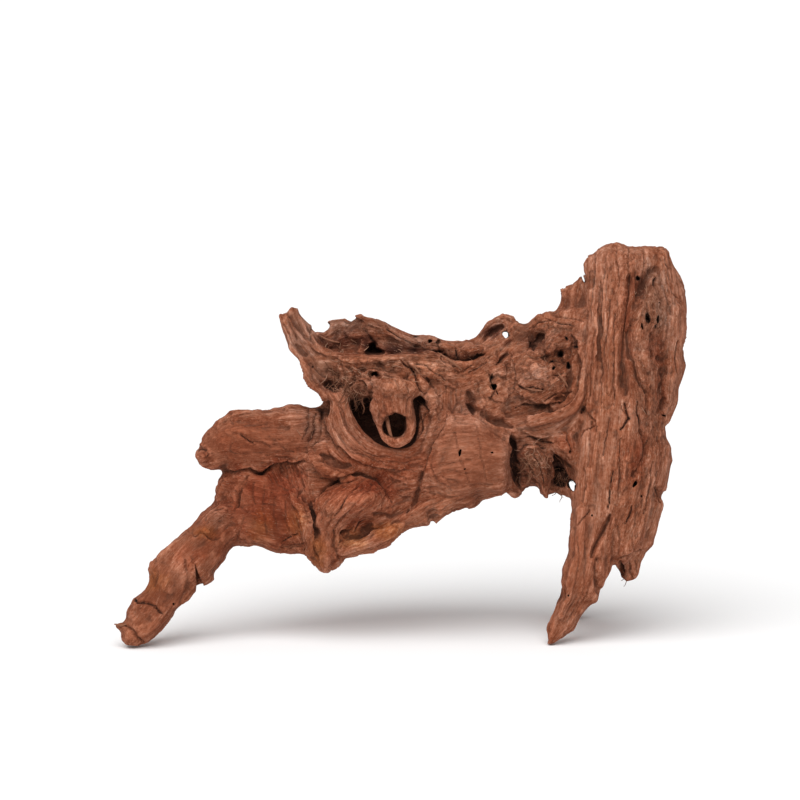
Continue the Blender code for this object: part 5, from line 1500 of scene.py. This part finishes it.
def red_brown_wood():
    """Weathered red-brown wood: dark, middle and light fibres in four widths, stained, with dark
    slits and pale flecks; painted shade makes it nearly black in hollows, cracks, creases and
    holes, and it is paler on raised edges, which is wear and partly a painted highlight. Its
    fine relief is a bump of the same fibres."""
    material, make, shader = new_material("red_brown_wood", 0.15)
    broad = fibre(make, across=9.0, stretch=8.0, detail=3.0)
    middle = fibre(make, across=3.0, stretch=10.0, detail=3.0, shift=7.3)
    narrow = fibre(make, across=1.1, stretch=9.0, shift=3.7)
    hair = fibre(make, across=0.5, stretch=9.0, shift=9.1)
    flake = fibre(make, across=3.4, stretch=2.4, detail=3.0, shift=4.2)
    flake = make.maths("ABSOLUTE", make.maths("SUBTRACT", flake, 0.5))
    place = make.add("ShaderNodeTexCoord", output="Object")
    blotch = make.noise(place, 40.0, 4.0, 0.6)
    speck = make.noise(place, 420.0, 3.0, 0.7)
    craggy = make.attribute("craggy")
    polished = make.attribute("polished")

    tone = make.weighed((broad, 0.7), (middle, 0.6), (narrow, 0.6), (hair, 0.3), (blotch, 0.7),
                        (speck, 0.8))
    tone = make.spread(tone, 1.25, 2.32)
    calm = make.maths("MULTIPLY_ADD", make.maths("SUBTRACT", tone, 0.5), 0.5, 0.5)
    tone = make.add("ShaderNodeMix", {0: polished, 2: tone, 3: calm})
    colour = make.ramp(tone, WOOD_TONES)
    colour = make.mix(1.0, colour, make.attribute("stain", "Color"), "MULTIPLY")

    rough = make.maths("SUBTRACT", 1.0, make.times(polished, 0.6))
    slit = make.spread(fibre(make, across=0.8, stretch=7.0, shift=5.1), 0.60, 0.70)
    slit = make.times(make.times(slit, rough), make.spread(blotch, 0.35, 0.6, 0.1, 0.6))
    fleck = make.spread(fibre(make, across=0.7, stretch=8.0, shift=8.8), 0.60, 0.72)
    flecked = make.maths("MULTIPLY_ADD", craggy, 0.35, 0.55)
    fleck = make.times(make.times(fleck, rough), flecked)
    # Painted shade in the creases between the flakes of craggy wood.
    crease_shade = make.times(make.spread(flake, 0.025, 0.0, 0.0, 0.35), craggy)
    colour = make.laid_on(colour, (slit, SLIT_DARK_AND_CREASE_SHADE), (fleck, FLECK_PALE), (crease_shade, SLIT_DARK_AND_CREASE_SHADE))

    edge_bend = make.attribute("edge_bend")
    # Paler on raised edges: wear, and partly a painted highlight along the ridges.
    worn_and_highlit = make.times(make.spread(edge_bend, 0.15, 0.9), make.spread(middle, 0.35, 0.62))
    pale = make.mix(1.0, colour, (1.45, 1.5, 1.55, 1), "MULTIPLY")
    colour = make.mix(make.times(worn_and_highlit, 0.9), colour, pale)
    # Painted shade: where a point sees little sky, its colour turns nearly black.
    shade = make.maths("ADD", make.attribute("open"), make.swing(broad, 0.3))
    # Painted shade in cracks: nearly black where the crack share is high.
    crack_shade = make.maths("ADD", make.attribute("crack"), make.swing(narrow, 0.5))
    # Painted shade: grooves and wide hollows turn dark brown, places that see little sky and cracks
    # nearly black, and drilled holes black.
    colour = make.laid_on(
        colour,
        (make.spread(edge_bend, -0.2, -1.0, 0.0, 0.42), GROOVE_SHADE),
        (make.spread(make.attribute("sunk"), 0.35, 1.0, 0.0, 0.35), HOLLOW_SHADE),
        (make.spread(shade, 0.40, 0.08, 0.0, 0.86), SHADE_NEAR_BLACK),
        (make.spread(crack_shade, 0.22, 0.72, 0.0, 0.92), SHADE_NEAR_BLACK),
        (make.attribute("hole"), HOLE_SHADE))
    make.put(shader.inputs["Base Color"], colour)

    dull = make.spread(make.maths("ADD", middle, narrow), 0.6, 1.4, 0.95, 0.75)
    make.put(shader.inputs["Roughness"], dull)
    height = make.weighed((narrow, 0.55), (hair, 0.25), (middle, 0.6), (speck, 0.25))
    layer = make.times(make.spread(flake, 0.0, 0.08, 0.0, 0.35), craggy)
    height = make.maths("ADD", height, layer)
    bump = make.add("ShaderNodeBump", {"Strength": 1.0, "Distance": 0.0016, "Height": height})
    make.put(shader.inputs["Normal"], bump)
    return material


root_wood = new_object("root_wood", wood_mesh)
wood_mesh.materials.clear()
wood_mesh.materials.append(red_brown_wood())
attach(root_wood, "root")
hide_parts("mangrove_root")

# Loose fibres and splinters, which stand off the wood where it is torn. They are the wood's own
# strands, split from it by rot and wear, and each is rooted in the surface that it springs from.
# Tufts: how many, the middle's x and z, half width and height, length, heading in degrees, how far
# headings differ, curl for each step in degrees, and how far they stand off.
TUFTS = [
    (100, -44, 187, 9, 9, 9, -60, 60, 16, 1.8),
    (50, -34, 180, 7, 7, 10, -85, 40, 14, 1.8),
    (30, -31, 172, 5, 3, 8, -90, 30, 12, 0.8),
    (24, -28, 193, 12, 6, 9, -20, 60, 16, 1.2),
    (12, 2, 190, 18, 8, 8, -50, 70, 14, 1.2),
    (10, 16, 182, 10, 9, 9, -70, 40, 12, 1.2),
    (16, -46, 211, 9, 5, 9, -80, 40, 12, 1.4),
    (8, -14, 205, 14, 2, 8, -10, 40, 14, 1.0),
    (90, 90, 127, 9, 13, 10, -70, 70, 24, 1.6),
    (50, 110, 118, 7, 9, 9, -100, 50, 16, 1.4),
    (20, 78, 128, 3, 16, 7, -80, 40, 16, 1.2),
    (7, 108, 196, 10, 12, 6, -60, 80, 14, 0.7),
    (7, 68, 198, 16, 10, 7, 30, 70, 14, 0.7),
    (5, 98, 222, 16, 5, 8, 10, 30, 10, 0.7),
    (16, 155, 54, 3, 6, 6, -80, 24, 8, 0.5),
    (8, 168, 248, 8, 12, 7, -70, 30, 10, 0.6),
    (8, 160, 170, 10, 12, 7, -80, 30, 10, 0.6),
    (8, -66, 152, 5, 10, 6, 70, 40, 12, 0.6),
]
FIBRE_STEPS = 7
ROOT_STEP = 5.0  # a fibre doesn't start where the surface drops by more than this
MISSED = 999.0
EYE_SIDE = -300.0  # a depth in front of all the wood, from which it is felt for
FIBRE_THICK = (0.2, 0.42)  # least and greatest half thickness
FIBRE_TAPER = 0.55  # how much thinner its tip is
FIBRE_LENGTH = (0.5, 1.3)  # shares of the tuft's length
FIBRE_STAND = (0.2, 1.2)  # shares of how far the tuft stands off
FIBRE_TONE = (0.25, 1.0)
FIBRE_BEND = 0.12  # a fibre's own bend at each step, in radians
ROOT_DEEP = 0.5  # how far under the surface a fibre starts
IN_FRONT, BEHIND = 5, 4  # how far from its root's depth a fibre follows the surface
SPLINTER_STEP = 1.2
SPLINTER_SIDES = 6
SPLINTER_TONE = 0.6
# Slivers of wood: half thickness, then places of x, z and depth.
SPLINTERS = [
    (1.5, [(-11.5, 162, -8), (-11, 156, -14), (-9.5, 149, -17.5), (-8, 145.5, -18)]),
    (0.8, [(-59, 217, 44), (-52, 213.5, 36), (-45, 212, 30)]),
    (0.5, [(-27, 177, 5), (-29, 171, 6), (-27.5, 166, 8), (-28.5, 162, 9)]),
    (0.45, [(-32, 178, 7), (-34.5, 172, 9), (-33, 167, 10), (-34, 164, 11)]),
    (0.9, [(-202.5, 15, -8), (-197, 14, -9), (-193, 15.5, -9)]),
    (0.8, [(108, 191, 3), (112, 186, 2.5), (115, 181, 4)]),
    (0.8, [(83, 181.5, 8), (90, 179, 6), (97, 178.5, 5)]),
    (0.9, [(24, 205, 12), (33, 199, 6), (41, 193, 7)]),
    (0.8, [(4, 199, 4), (10, 192, 2), (14, 184, 5)]),
    (0.8, [(-2, 186, -2), (7, 184, 1), (15, 178, 4)]),
    (0.9, [(86, 113, 18), (89, 118, 16), (91, 126, 13)]),
    (0.8, [(64, 175, 14), (60, 184, 14), (62, 191, 14)]),
]


def met_at(wood, flat):
    """The depth at which the wood is met at each seen place of x and z, and MISSED where not."""
    hits = [wood.ray_cast((x, z, EYE_SIDE), (0, 0, 1))[0] for x, z in flat]
    return np.array([MISSED if hit is None else hit[2] for hit in hits])


def strand(middle, radius, sides=4):
    """A closed thread of triangles along points of x, z and depth, with a small ring at each."""
    way = np.gradient(middle, axis=0)
    way /= np.linalg.norm(way, axis=1)[:, None] + TINY
    side = np.cross(way, (0.1, 0.3, 0.95))
    side /= np.linalg.norm(side, axis=1)[:, None] + TINY
    points, walls, caps = tube(middle, radius, (way, side, np.cross(way, side)), sides, 1)
    return points, np.concatenate((walls[:, (0, 1, 2)], walls[:, (0, 2, 3)], caps))[:, ::-1]


def tuft_strands(wood):
    """Each tuft's fibres: each starts at a chance place just inside the surface, heads the tuft's
    way and curls by chance at each step, and stands off the surface most in its middle."""
    chance = np.random.default_rng(seed=71)
    for count, x, z, half_width, half_height, length, heading, differ, curl, stand in TUFTS:
        for _ in range(count):
            start = np.array((x, z)) + chance.normal(0, 0.5, 2) * (half_width, half_height)
            turn = math.radians(heading) + math.radians(differ) * chance.normal()
            bend = math.radians(curl) * chance.normal(0, 1, FIBRE_STEPS)
            turns = turn + np.cumsum(bend + FIBRE_BEND * chance.normal())
            step = length * chance.uniform(*FIBRE_LENGTH) / FIBRE_STEPS
            flat = start + np.cumsum(step * np.stack((np.cos(turns), np.sin(turns)), 1), 0)
            under = met_at(wood, flat)
            begin = under[0]
            round_root = met_at(wood, flat[0] + ((0, 0), (1, 0), (-1, 0), (0, 1), (0, -1)))
            share = np.linspace(0, 1, FIBRE_STEPS)
            off = stand * chance.uniform(*FIBRE_STAND) * np.sin(math.pi * share * 0.75)
            thick = chance.uniform(*FIBRE_THICK) * (1 - FIBRE_TAPER * share)
            shade = chance.uniform(*FIBRE_TONE)
            if begin == MISSED or np.ptp(round_root) > ROOT_STEP:
                continue
            depth = np.clip(under, begin - IN_FRONT, begin + BEHIND)
            depth = np.convolve(np.pad(depth, 1, mode="edge"), (0.25, 0.5, 0.25), "valid")
            depth = depth - off
            depth[0] = begin + ROOT_DEEP
            yield np.column_stack((flat, depth)), thick, shade


def pale_fibre():
    """Torn wood fibre: each strand has its own tone, from dark brown to pale tan, with finer
    streaks of light and dark along it."""
    material, make, shader = new_material("torn_fibre", 0.15)
    place = make.add("ShaderNodeTexCoord", output="Object")
    speck = make.noise(place, 700.0, 2.0)
    tone = make.maths("ADD", make.attribute("tone"), make.swing(speck, 0.5))
    colour = make.ramp(tone, [(0.0, (0.060, 0.020, 0.010)), (0.45, (0.190, 0.070, 0.037)),
                              (0.8, (0.300, 0.140, 0.082)), (1.0, (0.400, 0.215, 0.140))])
    make.put(shader.inputs["Base Color"], colour)
    make.put(shader.inputs["Roughness"], make.spread(speck, 0.3, 0.7, 0.95, 0.75))
    make.put(shader.inputs["Normal"], make.add("ShaderNodeBump", {
        "Strength": 0.6, "Distance": 0.0002, "Height": speck}))
    return material


def loose_fibres(wood):
    """One mesh of all the fibres and splinters, with each one's tone."""
    points, faces, tones, count = [], [], [], 0
    bodies = [(*strand(middle, thick), shade) for middle, thick, shade in tuft_strands(wood)]
    for thick, path in SPLINTERS:
        line = smooth_line(path, SPLINTER_STEP)
        share = np.linspace(0, 1, len(line))
        width = thick * (0.35 + 0.65 * np.sin(math.pi * share) ** 0.5)
        bodies.append((*strand(line, width, SPLINTER_SIDES), SPLINTER_TONE))
    for own, sides, shade in bodies:
        points.append(own)
        faces.append(sides + count)
        tones.append(np.full(len(own), shade))
        count += len(own)
    mesh = bpy.data.meshes.new("loose_fibres")
    places, faces = np.concatenate(points), np.concatenate(faces)
    mesh.from_pydata(in_space(places).tolist(), [], faces.tolist())
    put_attribute(mesh, "tone", np.concatenate(tones))
    mesh.shade_smooth()
    return mesh


wood_as_seen = BVHTree.FromPolygons(places.tolist(), faces.tolist())
fibres = new_object("loose_fibres", loose_fibres(wood_as_seen))
fibres.data.materials.append(pale_fibre())
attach(fibres, "root")

# The floor is a wide sheet of plain white paper that lies flat under the root's feet. The light is
# a studio's: an even white sky, and one very wide, soft lamp high above, on the viewer's side and a
# little to the left.
FLOOR_SIZE = 60.0


def floor_sheet():
    """A square sheet in four parts, from one corner to the other."""
    reach = np.linspace(-FLOOR_SIZE / 2, FLOOR_SIZE / 2, 3)
    x, y = np.meshgrid(reach, reach, indexing="ij")
    points = np.stack((x.ravel(), y.ravel(), np.zeros(x.size)), 1)
    faces = [(low, low + 3, low + 4, low + 1) for low in (0, 1, 3, 4)]
    mesh = bpy.data.meshes.new("floor")
    mesh.from_pydata(points.tolist(), [], faces)
    return mesh


def plain_white():
    """Matte white paper, with a faint unevenness."""
    material, make, shader = new_material("white_paper", 0.1)
    place = make.add("ShaderNodeTexCoord", output="Object")
    shades = [(share, (grey, grey, grey)) for share, grey in ((0.3, 0.90), (0.7, 0.93))]
    make.put(shader.inputs["Base Color"], make.ramp(make.noise(place, 3.0, 2.0), shades))
    shader.inputs["Roughness"].default_value = 0.9
    return material


floor = new_object("floor", floor_sheet())
floor.data.materials.append(plain_white())

key = bpy.data.lights.new("soft_overhead", "SUN")
key.energy = 2.6
key.angle = math.radians(70)
key_lamp = bpy.data.objects.new("soft_overhead", key)
key_lamp.rotation_euler = [math.radians(angle) for angle in (30, -12, 0)]
bpy.context.scene.collection.objects.link(key_lamp)
sky_light = bpy.data.worlds.new("studio")
sky_light.use_nodes = True
sky = sky_light.node_tree.nodes["Background"].inputs
sky["Color"].default_value = (1, 1, 1, 1)
sky["Strength"].default_value = 0.5
bpy.context.scene.world = sky_light
